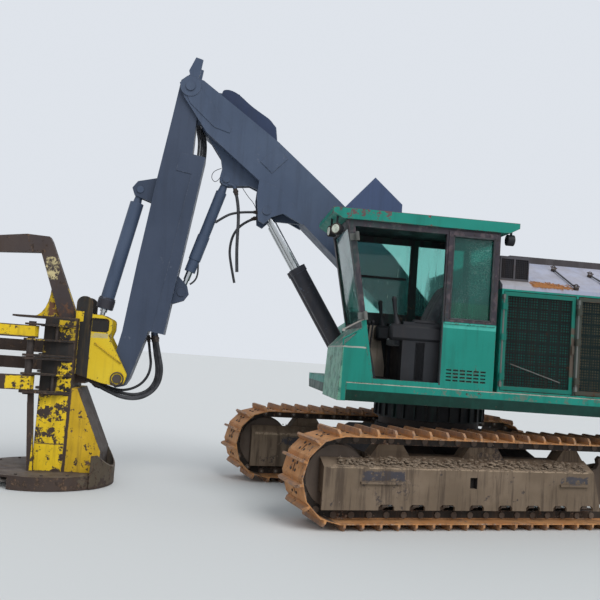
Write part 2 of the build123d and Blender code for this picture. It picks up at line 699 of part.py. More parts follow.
def build_engine_house():
    """The engine house with its doors, hood, screen box and engine."""
    house = block((house_rear, house_front), (-house_half, house_half), (deck_top, house_top))
    house -= block((house_rear + house_wall, house_front - house_wall),
                   (-house_half + house_wall, house_half - house_wall), (deck_top - 1, house_top + 1))
    low, high = deck_top + 20, house_top - 20
    doors = (("engine_door_front", house_front - post, door_split + post / 2),
             ("engine_door_rear", door_split - post / 2, house_rear + post))
    for name, front, rear in doors:
        house -= block((rear, front), (house_half - house_wall - 1, house_half + 1), (low, high))
    lugs = []
    hinge_y = house_half + 30
    for name, front, rear in doors:
        pin_x = front + 8
        for z in (low + 40, high - 90):
            lugs.append(block((pin_x - 12, pin_x + 12), (house_half, hinge_y + 14), (z, z + 50)))
        rod = bar((pin_x, hinge_y, low + 40), (pin_x, hinge_y, high - 40), 9)
        lugs[-1] = lugs[-1] + rod + lugs[-2]
        del lugs[-2]
    save("engine_house", house)
    save("door_hinge_rods", *lugs)
    for name, front, rear in doors:
        pin_x = front + 8
        panel = block((rear + door_gap, front - door_gap), (house_half - door_thick, house_half),
                      (low + door_gap, high - door_gap))
        hole_x = (rear + door_gap + door_stile, front - door_gap - door_stile)
        hole_z = (low + door_gap + door_rail, high - door_gap - door_rail)
        panel -= block(hole_x, (house_half - door_thick - 1, house_half + 1), hole_z)
        for z in (low + 110, (low + high) / 2, high - 200):
            knuckle = bar((pin_x, hinge_y, z), (pin_x, hinge_y, z + 70), 18)
            leaf = block((front - door_gap - door_stile, pin_x - 4), (house_half, house_half + 12), (z, z + 70))
            strap = block((pin_x - 16, pin_x - 4), (house_half + 6, hinge_y), (z, z + 70))
            panel += knuckle + leaf + strap
            panel -= bar((pin_x, hinge_y, z - 5), (pin_x, hinge_y, z + 75), 9 + pin_gap)
        panel += block((rear + door_gap + 4, rear + door_gap + 4 + latch_size[0]),
                       (house_half, house_half + latch_size[1]), (latch_height, latch_height + latch_size[2]))
        save(name, panel)
        save(name.replace("engine_door_", "") + "_door_grille", grille(hole_x, hole_z))

    hood = [(-house_half, house_top), (house_half, house_top), (house_half, house_top + hood_eave),
            (hood_ridge_half, hood_ridge), (-hood_ridge_half, hood_ridge), (-house_half, house_top + hood_eave)]
    hollow = [(-house_half + 60, house_top - 1), (house_half - 60, house_top - 1),
              (hood_ridge_half - 20, hood_ridge - 40), (-hood_ridge_half + 20, hood_ridge - 40)]
    shell = prism(hood, house_rear, hood_front, "yz") - prism(hollow, house_rear + 40, hood_front - 40, "yz")
    cap = block((house_rear, hood_front), (-hood_ridge_half, hood_ridge_half), (hood_ridge - 5, hood_ridge + hood_cap))
    save("engine_hood", shell + cap)
    box = [(-house_half, house_top), (house_half, house_top), (house_half, house_top + hood_eave),
           (screen_half, screen_foot), (screen_half, screen_top), (-screen_half, screen_top),
           (-screen_half, screen_foot), (-house_half, house_top + hood_eave)]
    screen = prism(box, hood_front, house_front, "yz")
    screen -= block((hood_front + 40, house_front - 40), (-screen_half + 40, screen_half - 40),
                    (house_top - 1, screen_top - 40))
    for rear, front in screen_windows:
        for side in (-1, 1):
            screen -= block((rear, front), sorted([side * (screen_half - 15), side * (screen_half + 1)]),
                            screen_window_z)
    save("screen_box", screen)
    save("engine_block", block((-1700, -700), (-600, 600), (deck_top, 2300)))


def boom_outline(at):
    """The boom's side outline along its own axis: the distance from the foot pin, and across it."""
    return [at(u, v) for u, v in (
        (-120, -90), (-120, 90), (60, 230), (900, 340), (1849, 333), (2829, 298), (3960, 165), (4130, 90),
        (4140, -60), (3990, -140), (3495, -247), (2641, -195), (1957, -181), (900, -190), (60, -180))]


def build_boom():
    """The boom with its lugs and the box on its back, and the cylinders' fixed ends."""
    at = frame_of(boom_foot, elbow)
    length = hypot(elbow[0] - boom_foot[0], elbow[1] - boom_foot[1])
    boom = prism(boom_outline(at), -boom_half, boom_half)
    slot = [at(length - boom_slot, -500), at(length - boom_slot, 500), at(length + 400, 500), at(length + 400, -500)]
    gap = stick_half + side_gap
    boom -= prism(slot, -gap, gap)
    boom += cross_pin(elbow, 120, boom_half + 15) - cross_pin(elbow, 121, gap)
    boom -= cross_pin(boom_foot, foot_pin + pin_gap, 400)
    boom -= cross_pin(elbow, elbow_pin + pin_gap, 400)
    inner_lug = [at(2180, -180), at(2245, -440), at(2300, -490), at(2370, -490), at(2430, -440), at(2560, -190)]
    outer_lug = [at(2664, -188), at(2421, -85), at(2142, -102), at(1914, -190), at(2180, -270), at(2245, -400),
                 at(2250, -520), at(2327, -540), at(2431, -444), at(2547, -342)]
    web = [at(1957, -180), at(2250, -430), at(2330, -450), at(2560, -190)]
    boom += prism(web, -20, 20)
    elbow_doubler = [at(4062, -69), at(3952, 74), at(3332, -2), at(3303, -52), at(3475, -136), at(3878, -142)]
    patch = [at(2808, -27), at(2616, -23), at(2611, 230), at(2794, 238)]
    tab = [at(4227, 293), at(4148, 333), at(4048, 183), at(4020, 100), at(4120, 90), at(4169, 120)]
    plates = ((inner_lug, hoist_y - eye_half - side_gap - lug_ear, hoist_y - eye_half - side_gap),
              (outer_lug, hoist_y + eye_half + side_gap, lug_outer),
              (elbow_doubler, boom_half - 1, lug_outer), (patch, boom_half - 1, lug_outer),
              (tab, boom_half - boom_ear, boom_half))
    for outline, low, high in plates:
        boom += prism(outline, low, high)
        boom += prism(outline, -high, -low)
    guard = [at(2878, 290), at(2878, 337), at(3000, 440), at(3121, 448), at(3262, 412), at(3414, 386), at(3600, 394),
             at(3600, 200)]
    guard_tail = [at(3560, 200), at(3560, 392), at(3600, 394), at(3729, 347), at(3887, 220), at(3987, 150), at(3900, 140)]
    boom -= cross_pin(elbow, elbow_pin + pin_gap, 400)
    boom += prism(guard, -boom_half, guard_inner)
    boom += prism(guard_tail, -boom_half, -boom_half + boom_ear)
    gusset = [at(2500, -190), at(2560, -250), at(2704, -300), at(2795, -400), at(2880, -490), at(2930, -520),
              at(3000, -515), at(3035, -470), at(3082, -389), at(3182, -314), at(3324, -283), at(3495, -240)]
    gusset_half = eye_half + side_gap + lug_ear
    for low, high in ((eye_half + side_gap, gusset_half), (-gusset_half, -eye_half - side_gap)):
        boom += prism(gusset, low, high)
    boom -= cross_pin(stick_base, cylinder_pin + pin_gap, 400)
    boom += pin_caps(hoist_eye, lug_outer)
    boom += fitting(boom_hose_front, 0, 60)
    boom += bar((2563, boom_hose_front[0], 3587), (2640, boom_hose_front[0], 3610), 15)
    boom += fitting(boom_hose_rear, 0, 60)
    save("boom", boom)
    save("boom_hose_front", hose(boom_hose_front))
    save("boom_hose_rear", hose(boom_hose_rear))
    save("elbow_pin", cross_pin(elbow, elbow_pin, boom_half + 30))
    save("stick_base_pin", cross_pin(stick_base, cylinder_pin, gusset_half + 12))
    box = [at(1120, 338.8), at(1725, 334), at(1725, 862), at(1262, 868), at(1140, 730)]
    save("boom_valve_box", prism(box, -boom_half + 20, boom_half - 20))


def cylinder(base, eye, y, barrel, rod, length, inside, sleeve=None):
    """A cylinder's barrel and rod between two pins; inside is how much of the rod the barrel holds.

    The barrel has a collar at its mouth, or a sleeve where that is given.
    """
    at = frame_of(base, eye)
    span = hypot(eye[0] - base[0], eye[1] - base[1])

    def point(u):
        x, z = at(u, 0)
        return (x, y, z)

    def eye_ring(place):
        return bar((place[0], y - eye_half, place[1]), (place[0], y + eye_half, place[1]), eye_radius)
    bottom = eye_reach + cylinder_bottom
    tube = bar(point(eye_reach), point(length), barrel) + bar(point(0), point(bottom), eye_half) + eye_ring(base)
    collar = sleeve or (length - gland_length, length)
    tube += bar(point(collar[0]), point(collar[1]), barrel + gland_proud)
    tube -= cross_pin(base, cylinder_pin + pin_gap, boom_half)
    tube -= bar(point(bottom), point(length + 1), rod + pin_gap)
    neck = span - eye_reach
    shaft = bar(point(length - inside), point(neck), rod)
    shaft += bar(point(neck - cylinder_bottom), point(span), eye_half) + eye_ring(eye)
    return tube, shaft


def build_cylinders():
    """The hoist pair, the stick cylinder and the tilt cylinder."""
    barrels, rods = [], []
    for y in (-hoist_y, hoist_y):
        tube, shaft = cylinder(hoist_base, hoist_eye, y, hoist_barrel, hoist_rod, hoist_length, hoist_inside)
        barrels.append(tube)
        rods.append(shaft)
    save("hoist_barrels", *barrels)
    save("hoist_rods", *rods)
    tube, shaft = cylinder(stick_base, stick_eye, 0.0, stick_cyl_barrel, stick_cyl_rod, stick_cyl_length,
                           stick_cyl_inside, stick_cyl_sleeve)
    save("stick_cylinder_barrel", tube)
    save("stick_cylinder_rod", shaft)
    tube, shaft = cylinder(tilt_base, tilt_eye, 0.0, tilt_barrel, tilt_rod, tilt_length, tilt_inside)
    save("tilt_cylinder_barrel", tube)
    save("tilt_cylinder_rod", shaft + cross_pin(tilt_eye, cylinder_pin, stick_half))


def pin_caps(place, half, radius=48.0, thick=12.0):
    """The two retaining discs of a pin, on the outer faces of its lugs."""
    x, z = place
    return (bar((x, half, z), (x, half + thick, z), radius)
            + bar((x, -half - thick, z), (x, -half, z), radius))


def build_stick():
    """The stick with its rear channel and the lugs for its cylinders."""
    down = frame_of(elbow, wrist)

    def at(p, q):
        return down(p, q)
    outline = [at(p, q) for p, q in (
        (-130, -70), (-130, 70), (-60, 130), (400, 125), (1154, 123), (2202, 105), (2986, 80), (3440, 100),
        (3600, 80), (3640, 0), (3600, -90), (3513, -125), (2964, -204), (966, -233), (323, -151), (-60, -130))]
    stick = prism(outline, -stick_half, stick_half)
    channel = [at(775, -215), at(775, -365), at(2924, -390), at(2924, -205)]
    stick += prism(channel, -stick_half, stick_half)
    cover = [at(790, -70), at(1009, -70), at(1009, -253), at(2924, -250), at(2924, -385), at(790, -365)]
    for low, high in ((stick_half - 1, stick_half + doubler), (-stick_half - doubler, -stick_half + 1)):
        stick += prism(cover, low, high)
    for shape in (wrist_hose_left, wrist_hose_right):
        stick += fitting(shape, 0, 60)
    lug_low, lug_high = eye_half + side_gap, eye_half + side_gap + lug_ear
    rear_lug = [at(2200, -370), at(2300, -510), at(2391, -550), at(2480, -510), at(2560, -370)]
    front_lug = [at(1130, 110), at(1230, 340), at(1321, 385), at(1400, 340), at(1440, 110)]
    recess = [at(2391 - 260, -395), at(2391 - 260, -300), at(2391 + 220, -300), at(2391 + 220, -395)]
    stick -= prism(recess, -lug_low, lug_low)
    for lug in (rear_lug, front_lug):
        for low, high in ((lug_low, lug_high), (-lug_high, -lug_low)):
            stick += prism(lug, low, high)
    stick -= cross_pin(elbow, elbow_pin + pin_gap, 400)
    stick -= cross_pin(wrist, wrist_pin + pin_gap, 400)
    stick -= cross_pin(tilt_base, cylinder_pin + pin_gap, 400)
    stick += pin_caps(stick_eye, lug_high)
    save("stick", stick)
    save("wrist_hose_left", hose(wrist_hose_left))
    save("wrist_hose_right", hose(wrist_hose_right))
    save("tilt_base_pin", cross_pin(tilt_base, cylinder_pin, lug_high + 12))


def build_head():
    """The felling head: bracket, tower, horn, saw housing, saw disc and arms."""
    ear_low = stick_half + side_gap
    ear_high = ear_low + ear
    cheek = [(3640, 1150), (3738, 1122), (3900, 1150), (tower_rear, 1235), (tower_rear, tower_top),
             (spine_front, tower_top), (spine_front, spine_top), (spine_rear, spine_top), (spine_rear, 1925),
             (3945, 1925), (3822, 1870), (3822, 1760), (3850, 1680), (3612, 1262)]
    corners = (40, 40, 0, 0, 0, 0, 85, 85, 20, 50, 50, 60, 0, 40)
    pocket = [(pocket_x[0], pocket_z[0]), (pocket_x[1], pocket_z[0]), (pocket_x[1], pocket_z[1]),
              (pocket_x[0], pocket_z[1])]
    cheeks = []
    for side in (-1, 1):
        ends = sorted([side * ear_low, side * ear_high])
        sunk = sorted([side * (ear_high - pocket_depth), side * (ear_high + 1)])
        plate = rounded(cheek, corners, *ends) - rounded(pocket, (35, 35, 35, 35), *sunk)
        boss = bar((wrist[0], ends[0], wrist[1]), (wrist[0], ends[1] + (side > 0) * 12, wrist[1]), 75)
        if side < 0:
            boss = bar((wrist[0], ends[0] - 12, wrist[1]), (wrist[0], ends[1], wrist[1]), 75)
        cheeks.append(plate + boss - cross_pin(wrist, wrist_pin + pin_gap, 400))
    save("wrist_bracket", *cheeks)
    save("wrist_pin", cross_pin(wrist, wrist_pin, ear_high + 25))

    tower = block((tower_rear, tower_front), (-tower_half, tower_half), (housing_top, tower_top))
    tower -= block((tower_rear + tower_wall, tower_front + 1),
                   (-tower_half + tower_wall, tower_half - tower_wall), (housing_top + 40, tower_top - 40))
    levels = [1002.0, 1202.0, 1374.0, 1404.0, 1582.0, 1750.0]
    for z in levels:
        thick = 24.0 if z in (1374.0, 1404.0) else (28.0 if z == 1002.0 else 20.0)
        plate = [(tower_rear, -tower_half), (tower_rear, tower_half), (tower_front - 40, arm_pin[1] + 60),
                 (arm_pin[0] + 30, arm_pin[1] + 75), (arm_pin[0] + 75, arm_pin[1] + 30),
                 (arm_pin[0] + 75, arm_pin[1] - 40), (tower_front + 40, 200), (tower_front + 40, -200),
                 (arm_pin[0] + 75, -arm_pin[1] + 40), (arm_pin[0] + 75, -arm_pin[1] - 30),
                 (arm_pin[0] + 30, -arm_pin[1] - 75), (tower_front - 40, -arm_pin[1] - 60)]
        tower += prism(plate, z, z + thick, "xy")
    flank = [(tower_rear + tower_wall, flank_top), (tower_rear - 70, flank_top), flank_foot,
             (flank_foot[0], housing_top), (tower_rear + tower_wall, housing_top)]
    inside = [(tower_rear + tower_wall, flank_top - 2 * flank_plate), (tower_rear - 60, flank_top - 2 * flank_plate),
              (flank_foot[0] + flank_plate, flank_foot[1] - 10), (flank_foot[0] + flank_plate, housing_top - 1),
              (tower_rear + tower_wall, housing_top - 1)]
    back = prism(flank, -tower_half, tower_half)
    back -= prism(inside, -tower_half + flank_plate, tower_half - flank_plate)
    tower += back - block((tower_rear + 1, tower_front), (-tower_half - 1, tower_half + 1), (0, tower_top))
    lid = [(tower_rear, -tower_half), (tower_front, -tower_half), (top_plate_front, -150), (top_plate_front, 150),
           (tower_front, tower_half), (tower_rear, tower_half)]
    tower += prism(lid, tower_top - top_plate, tower_top, "xy")
    for side in (-1, 1):
        leg = [(4655, levels[0] + 1), (4590, levels[0] + 1), (4520, housing_top), (4585, housing_top)]
        ends = sorted([side * (tower_half + 2), side * (tower_half + 42)])
        tower += prism(leg, *ends)
    tower += block(*hose_block)
    for shape in (wrist_hose_left, wrist_hose_right):
        tower += fitting(shape, -1, 110)
    for side in (-1, 1):
        tower -= bar((arm_pin[0], side * arm_pin[1], 900), (arm_pin[0], side * arm_pin[1], 1900),
                     arm_pin_radius + pin_gap)
    save("head_tower", tower)
    save("arm_pins", *[bar((arm_pin[0], s * arm_pin[1], 985), (arm_pin[0], s * arm_pin[1], 1790), arm_pin_radius)
                       for s in (-1, 1)])

    horn = [(4240, tower_top), (4449, tower_top), (4722, 2600), (5350, 2560), (5380, 2600), (5380, 2700),
            (5340, 2740), (4900, 2800), (4645, 2790), (4613, 2740)]
    post_top, foot_front = (4573, 2207), 4754
    curve = [(post_top[0] + (foot_front - post_top[0]) * (1 - cos(t * pi / 12)),
              post_top[1] - (post_top[1] - tower_top) * sin(t * pi / 12)) for t in range(1, 6)]
    web = [post_top] + curve + [(foot_front, tower_top), (4440, tower_top)]
    save("head_horn", prism(horn, -60, 60) + prism(web, -22, 22))

    rim = bar((saw_centre, 0, housing_bottom), (saw_centre, 0, housing_top), housing_radius)
    rim -= bar((saw_centre, 0, housing_bottom + 20), (saw_centre, 0, housing_top - 20), housing_radius - housing_wall)
    mouth = [(saw_centre + 250, -900), (saw_centre + 250, 900), (saw_centre + 900, 900), (saw_centre + 900, -900)]
    rim -= prism(mouth, housing_bottom - 1, housing_top - 22, "xy")
    rim -= bar((saw_centre, 0, housing_bottom - 1), (saw_centre, 0, housing_bottom + 21), 260)
    rim -= bar((saw_centre, 0, housing_top - 21), (saw_centre, 0, housing_top + 1), 60 + pin_gap)
    guard = bar((saw_centre, 0, housing_bottom), (saw_centre, 0, guard_top), housing_radius + housing_wall)
    guard -= bar((saw_centre, 0, housing_bottom - 1), (saw_centre, 0, guard_top + 1), housing_radius)
    (rear, low), (front, high) = guard_slope
    above = [(rear - 100, low - 120), (rear, low), (front, high), (front, high + 50), (rear - 100, high + 50)]
    guard -= prism(above, -900, 900)
    rim += guard & block((saw_centre - 900, guard_front), (-900, 900), (0, guard_top + 1))
    save("saw_housing", rim)

    points = []
    for i in range(saw_teeth):
        a = 2 * pi * i / saw_teeth
        for turn, radius in ((0.0, saw_radius), (0.05, saw_radius), (0.14, saw_radius - 60), (0.30, saw_radius - 60)):
            points.append((saw_centre + radius * cos(a + turn), radius * sin(a + turn)))
    disc = prism(points, saw_bottom, saw_bottom + saw_thick, "xy")
    disc += bar((saw_centre, 0, saw_bottom + saw_thick), (saw_centre, 0, housing_top), 60)
    save("saw_disc", disc)

    for name, side, low, high in arm_levels:
        outline = [(4600, 340), (4585, 400), (4610, 455), (4900, 560), (5180, 560), (5400, 430), (5480, 270),
                   (5440, 250), (5330, 370), (5150, 450), (4900, 450), (4720, 350), (4660, 325)]
        arm = prism([(x, side * y) for x, y in outline], low, high, "xy")
        arm -= bar((arm_pin[0], side * arm_pin[1], 900), (arm_pin[0], side * arm_pin[1], 1900),
                   arm_pin_radius + pin_gap)
        save(name, arm)


build_undercarriage()
build_deck()
build_cab()
build_engine_house()
build_boom()
build_cylinders()
build_stick()
build_head()
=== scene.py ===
import logging
import math
import random
from collections.abc import Callable, Iterable, Sequence
from dataclasses import dataclass
from enum import Enum
from typing import ClassVar

import bmesh
import bpy
from mathutils import Matrix, Vector


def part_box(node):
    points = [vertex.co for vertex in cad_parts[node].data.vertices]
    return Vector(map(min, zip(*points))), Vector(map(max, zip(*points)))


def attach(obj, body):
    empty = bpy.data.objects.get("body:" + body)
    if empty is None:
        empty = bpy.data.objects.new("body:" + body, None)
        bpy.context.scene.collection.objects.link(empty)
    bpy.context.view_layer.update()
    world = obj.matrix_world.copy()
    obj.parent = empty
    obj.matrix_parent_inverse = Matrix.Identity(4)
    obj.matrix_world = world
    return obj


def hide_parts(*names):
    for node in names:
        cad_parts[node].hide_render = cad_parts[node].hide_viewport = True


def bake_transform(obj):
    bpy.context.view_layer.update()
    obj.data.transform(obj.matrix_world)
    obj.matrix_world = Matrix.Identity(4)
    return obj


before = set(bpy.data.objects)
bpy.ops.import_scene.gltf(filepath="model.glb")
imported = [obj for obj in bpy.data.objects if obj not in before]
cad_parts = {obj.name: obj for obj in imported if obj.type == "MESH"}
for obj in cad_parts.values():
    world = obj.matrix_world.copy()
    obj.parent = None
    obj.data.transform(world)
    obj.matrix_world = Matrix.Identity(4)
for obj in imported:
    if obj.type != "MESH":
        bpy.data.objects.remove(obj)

logging.basicConfig(level=logging.INFO, format="%(message)s")
log = logging.getLogger("feller_buncher")

Point = tuple[float, float, float]
Colour = tuple[float, float, float]
Flat = tuple[float, float]
Steps = tuple[Callable[["Assembly"], None], ...]

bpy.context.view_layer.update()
SIDES = ((1, "left"), (-1, "right"))
UP = (0.0, 0.0, 1.0)
LEFT = (0.0, 1.0, 0.0)
SMOOTH_ANGLE = math.radians(40.0)


class Body(Enum):
    """The bodies that new pieces ride on."""

    UNDERCARRIAGE = "undercarriage"
    UPPER = "upper"
    FRONT_DOOR = "front_door"
    REAR_DOOR = "rear_door"
    BOOM = "boom"
    STICK = "stick"
    STICK_BARREL = "stick_barrel"
    TILT_BARREL = "tilt_barrel"
    HEAD = "head"


def place_object(name: str, data: bpy.types.ID) -> bpy.types.Object:
    """Put an object with this data at the scene's origin.

    Args:
        name: The object's name.
        data: Its mesh, curve, camera or light.

    Returns:
        The object.
    """
    item = bpy.data.objects.new(name, data)
    bpy.context.scene.collection.objects.link(item)
    return item


@dataclass(frozen=True)
class Viewpoint:
    """Where the photograph was taken from, in metres and degrees."""

    place: Point = (2.647, 9.121, 1.638)
    yaw: float = 6.13
    pitch: float = 4.08
    roll: float = 4.2
    lens: float = 45.74
    sensor: float = 36.0
    far: float = 400.0

    def make_camera(self) -> bpy.types.Object:
        """Make the scene's camera at this viewpoint.

        Returns:
            The camera object, which is also the scene's active camera.
        """
        yaw, pitch, roll = (math.radians(a) for a in (self.yaw, self.pitch, self.roll))
        forward = Vector((-math.sin(yaw), -math.cos(yaw), 0.0))
        right = Vector((-math.cos(yaw), math.sin(yaw), 0.0))
        up = Vector((0.0, 0.0, 1.0))
        ahead = forward * math.cos(pitch) + up * math.sin(pitch)
        over = up * math.cos(pitch) - forward * math.sin(pitch)
        side = right * math.cos(roll) + over * math.sin(roll)
        top = over * math.cos(roll) - right * math.sin(roll)
        turn = Matrix((side, top, -ahead)).transposed().to_4x4()
        data = bpy.data.cameras.new("photo_camera")
        data.lens = self.lens
        data.sensor_width = self.sensor
        data.clip_end = self.far
        camera = place_object("photo_camera", data)
        camera.matrix_world = Matrix.Translation(self.place) @ turn
        bpy.context.scene.camera = camera
        return camera


class Wiring:
    """Adds and joins the nodes of one shader tree."""

    def __init__(self, tree: bpy.types.NodeTree) -> None:
        """Work on this tree."""
        self.tree = tree

    def feed(self, socket: bpy.types.NodeSocket, value: object) -> None:
        """Link a socket to another, or set its value.

        Args:
            socket: The input to feed.
            value: Another socket, a number, a vector or a colour.
        """
        if isinstance(value, bpy.types.NodeSocket):
            self.tree.links.new(value, socket)
        elif isinstance(value, tuple) and len(value) == 3 and len(socket.default_value) == 4:
            socket.default_value = (*value, 1.0)
        else:
            socket.default_value = value

    def add(self, kind: str, inputs: dict | None = None, **settings: object) -> bpy.types.Node:
        """Add a node.

        Args:
            kind: The shader node's type without its common first part.
            inputs: Values or sockets for its inputs, by name or number.
            **settings: The node's own settings.

        Returns:
            The new node.
        """
        node = self.tree.nodes.new("ShaderNode" + kind)
        for key, value in settings.items():
            setattr(node, key, value)
        for key, value in (inputs or {}).items():
            self.feed(node.inputs[key], value)
        return node

    def math(self, operation: str, first: object, second: object = 0.0) -> bpy.types.NodeSocket:
        """Return the result of one sum."""
        return self.add("Math", {0: first, 1: second}, operation=operation).outputs[0]

    def mix(self, mask: object, below: object, above: object) -> bpy.types.NodeSocket:
        """Return a colour that goes from below to above with the mask."""
        return self.add("Mix", {0: mask, 6: below, 7: above}, data_type="RGBA").outputs[2]

    def ramp(self, value: object, low: object, high: object) -> bpy.types.NodeSocket:
        """Return a smooth mask that rises from low to high."""
        node = self.add("MapRange", {"Value": value, "From Min": low, "From Max": high},
                        interpolation_type="SMOOTHSTEP")
        return node.outputs["Result"]

    def noise(self, place: object, scale: object, detail: float = 4.0,
              roughness: float = 0.6) -> bpy.types.NodeSocket:
        """Return a noise value at a place."""
        node = self.add("TexNoise", {"Vector": place, "Scale": scale, "Detail": detail,
                                     "Roughness": roughness})
        return node.outputs[0]

    def patches(self, scale: float, detail: float, low: float, high: float,
                roughness: float = 0.6) -> bpy.types.NodeSocket:
        """Return a mask of soft patches all over the object."""
        return self.ramp(self.noise(self.here(), scale, detail, roughness), low, high)

    def effect(self, group: bpy.types.NodeTree, inputs: dict) -> bpy.types.NodeSocket:
        """Return the mask of a shared effect with these values."""
        return self.add("Group", inputs, node_tree=group).outputs[0]

    def bump(self, strength: float, distance: float, height: object) -> bpy.types.NodeSocket:
        """Return the normal of a surface that a height raises."""
        return self.add("Bump", {"Strength": strength, "Distance": distance, "Height": height}).outputs[0]

    def vector(self, operation: str, first: object, second: object) -> bpy.types.NodeSocket:
        """Return the result of one sum of vectors."""
        return self.add("VectorMath", {0: first, 1: second}, operation=operation).outputs[0]

    def split(self, place: object) -> bpy.types.Node:
        """Return the node that splits a vector into X, Y and Z."""
        return self.add("SeparateXYZ", {0: place})

    def here(self) -> bpy.types.NodeSocket:
        """Return the place on the object."""
        return self.add("TexCoord").outputs["Object"]

    def scaled(self, place: object, scale: Point) -> bpy.types.NodeSocket:
        """Return a place stretched along the axes."""
        return self.vector("MULTIPLY", place, scale)

    def turned(self, place: object, degrees: float) -> bpy.types.NodeSocket:
        """Return a place turned about the upright axis."""
        return self.add("VectorRotate", {"Vector": place, "Angle": math.radians(degrees)},
                        rotation_type="Z_AXIS").outputs[0]

    def facing(self) -> bpy.types.Node:
        """Return the split of the way that the surface faces on the object."""
        return self.split(self.add("TexCoord").outputs["Normal"])


class Effects:
    """The effects that many finishes share, each one node group that is built once."""

    def __init__(self) -> None:
        """Build every group."""
        self.chips = self._chips()
        self.streaks = self._streaks()
        self.dust = self._dust()
        self.region = self._region()

    def _start(self, name: str, numbers: Sequence[str], vectors: Sequence[str] = ()
               ) -> tuple[bpy.types.NodeTree, Wiring, bpy.types.Node]:
        """Start a group that puts out one mask.

        Args:
            name: The group's name.
            numbers: Its inputs that are numbers.
            vectors: Its inputs that are vectors.

        Returns:
            The group, its wiring and the node of its inputs.
        """
        tree = bpy.data.node_groups.new(name, "ShaderNodeTree")
        for label in numbers:
            tree.interface.new_socket(label, in_out="INPUT", socket_type="NodeSocketFloat")
        for label in vectors:
            tree.interface.new_socket(label, in_out="INPUT", socket_type="NodeSocketVector")
        tree.interface.new_socket("Mask", in_out="OUTPUT", socket_type="NodeSocketFloat")
        return tree, Wiring(tree), tree.nodes.new("NodeGroupInput")

    def _end(self, tree: bpy.types.NodeTree, mask: bpy.types.NodeSocket) -> bpy.types.NodeTree:
        """Join the mask to the group's output."""
        out = tree.nodes.new("NodeGroupOutput")
        tree.links.new(mask, out.inputs[0])
        return tree

    def _chips(self) -> bpy.types.NodeTree:
        """Paint knocked off in flakes, most of all along edges; where the chip colours are pale, as on the
        boom, the edge part is a painted highlight.
        """
        tree, w, given = self._start("chipped_paint_and_edge_highlight", ("Scale", "Threshold", "Edge", "Radius"))
        place = w.here()
        soft = w.add("Bevel", {"Radius": given.outputs["Radius"]}, samples=4)
        flat = w.add("NewGeometry")
        same = w.add("VectorMath", {0: soft.outputs[0], 1: flat.outputs["Normal"]},
                     operation="DOT_PRODUCT")
        edge = w.math("MULTIPLY", w.ramp(same.outputs["Value"], 0.99, 0.86), given.outputs["Edge"])
        fine = w.noise(place, given.outputs["Scale"], 8.0, 0.68)
        broad = w.noise(place, w.math("MULTIPLY", given.outputs["Scale"], 0.17), 3.0)
        total = w.math("ADD", w.math("MULTIPLY", fine, 0.6), w.math("MULTIPLY", broad, 0.4))
        total = w.math("ADD", total, edge)
        high = w.math("ADD", given.outputs["Threshold"], 0.035)
        return self._end(tree, w.ramp(total, given.outputs["Threshold"], high))

    def _streaks(self) -> bpy.types.NodeTree:
        """Runs of rust and dirt straight down."""
        tree, w, given = self._start("vertical_streaks", ("Scale", "Threshold"))
        place = w.scaled(w.here(), (1.0, 1.0, 0.07))
        runs = w.noise(place, given.outputs["Scale"], 5.0, 0.7)
        patch = w.noise(w.here(), 1.6, 3.0)
        total = w.math("ADD", w.math("MULTIPLY", runs, 0.75), w.math("MULTIPLY", patch, 0.25))
        high = w.math("ADD", given.outputs["Threshold"], 0.16)
        return self._end(tree, w.ramp(total, given.outputs["Threshold"], high))

    def _dust(self) -> bpy.types.NodeTree:
        """Dust that settles on what faces up, and dirt near a height; with a blue-grey dust colour, as on
        the boom, the top part is also painted sky light.
        """
        tree, w, given = self._start("settled_dust_and_sky_light", ("Top", "Low Height", "Low Amount"))
        up = w.facing().outputs["Z"]
        height = w.split(w.here()).outputs["Z"]
        top = w.math("MULTIPLY", w.ramp(up, 0.3, 0.9), given.outputs["Top"])
        near = w.ramp(height, given.outputs["Low Height"], 0.0)
        low = w.math("MULTIPLY", near, given.outputs["Low Amount"])
        total = w.math("MULTIPLY", w.math("ADD", top, low), w.patches(5.0, 6.0, 0.25, 0.65, 0.65))
        return self._end(tree, w.math("MINIMUM", total, 1.0))

    def _region(self) -> bpy.types.NodeTree:
        """One where the place is inside a box, with an edge as ragged as asked."""
        tree, w, given = self._start("inside_box", ("Ragged", "Soft"), ("Place", "Low", "High"))
        shift = w.add("TexNoise", {"Vector": w.here(), "Scale": 14.0, "Detail": 6.0, "Roughness": 0.7})
        centred = w.vector("SUBTRACT", shift.outputs["Color"], (0.5, 0.5, 0.5))
        moved = w.add("VectorMath", {0: centred, "Scale": given.outputs["Ragged"]}, operation="SCALE")
        place = w.vector("ADD", given.outputs["Place"], moved.outputs[0])
        over = w.vector("SUBTRACT", place, given.outputs["Low"])
        under = w.vector("SUBTRACT", given.outputs["High"], place)
        near = w.split(w.vector("MINIMUM", over, under))
        least = w.math("MINIMUM", w.math("MINIMUM", near.outputs[0], near.outputs[1]), near.outputs[2])
        return self._end(tree, w.ramp(least, 0.0, given.outputs["Soft"]))


@dataclass(frozen=True)
class Region:
    """A box of the object, in metres, that has another coat."""

    low: Point
    high: Point
    colour: Colour
    ragged: float = 0.0
    soft: float = 0.002
    patchy: float = 0.0


@dataclass(frozen=True)
class Finish:
    """A finish that makes one material."""

    name: str

    def start(self) -> tuple[bpy.types.Material, Wiring, bpy.types.Node]:
        """Start the material.

        Returns:
            The material, its wiring and its shader.
        """
        material = bpy.data.materials.new(self.name)
        material.use_nodes = True
        tree = material.node_tree
        return material, Wiring(tree), tree.nodes["Principled BSDF"]


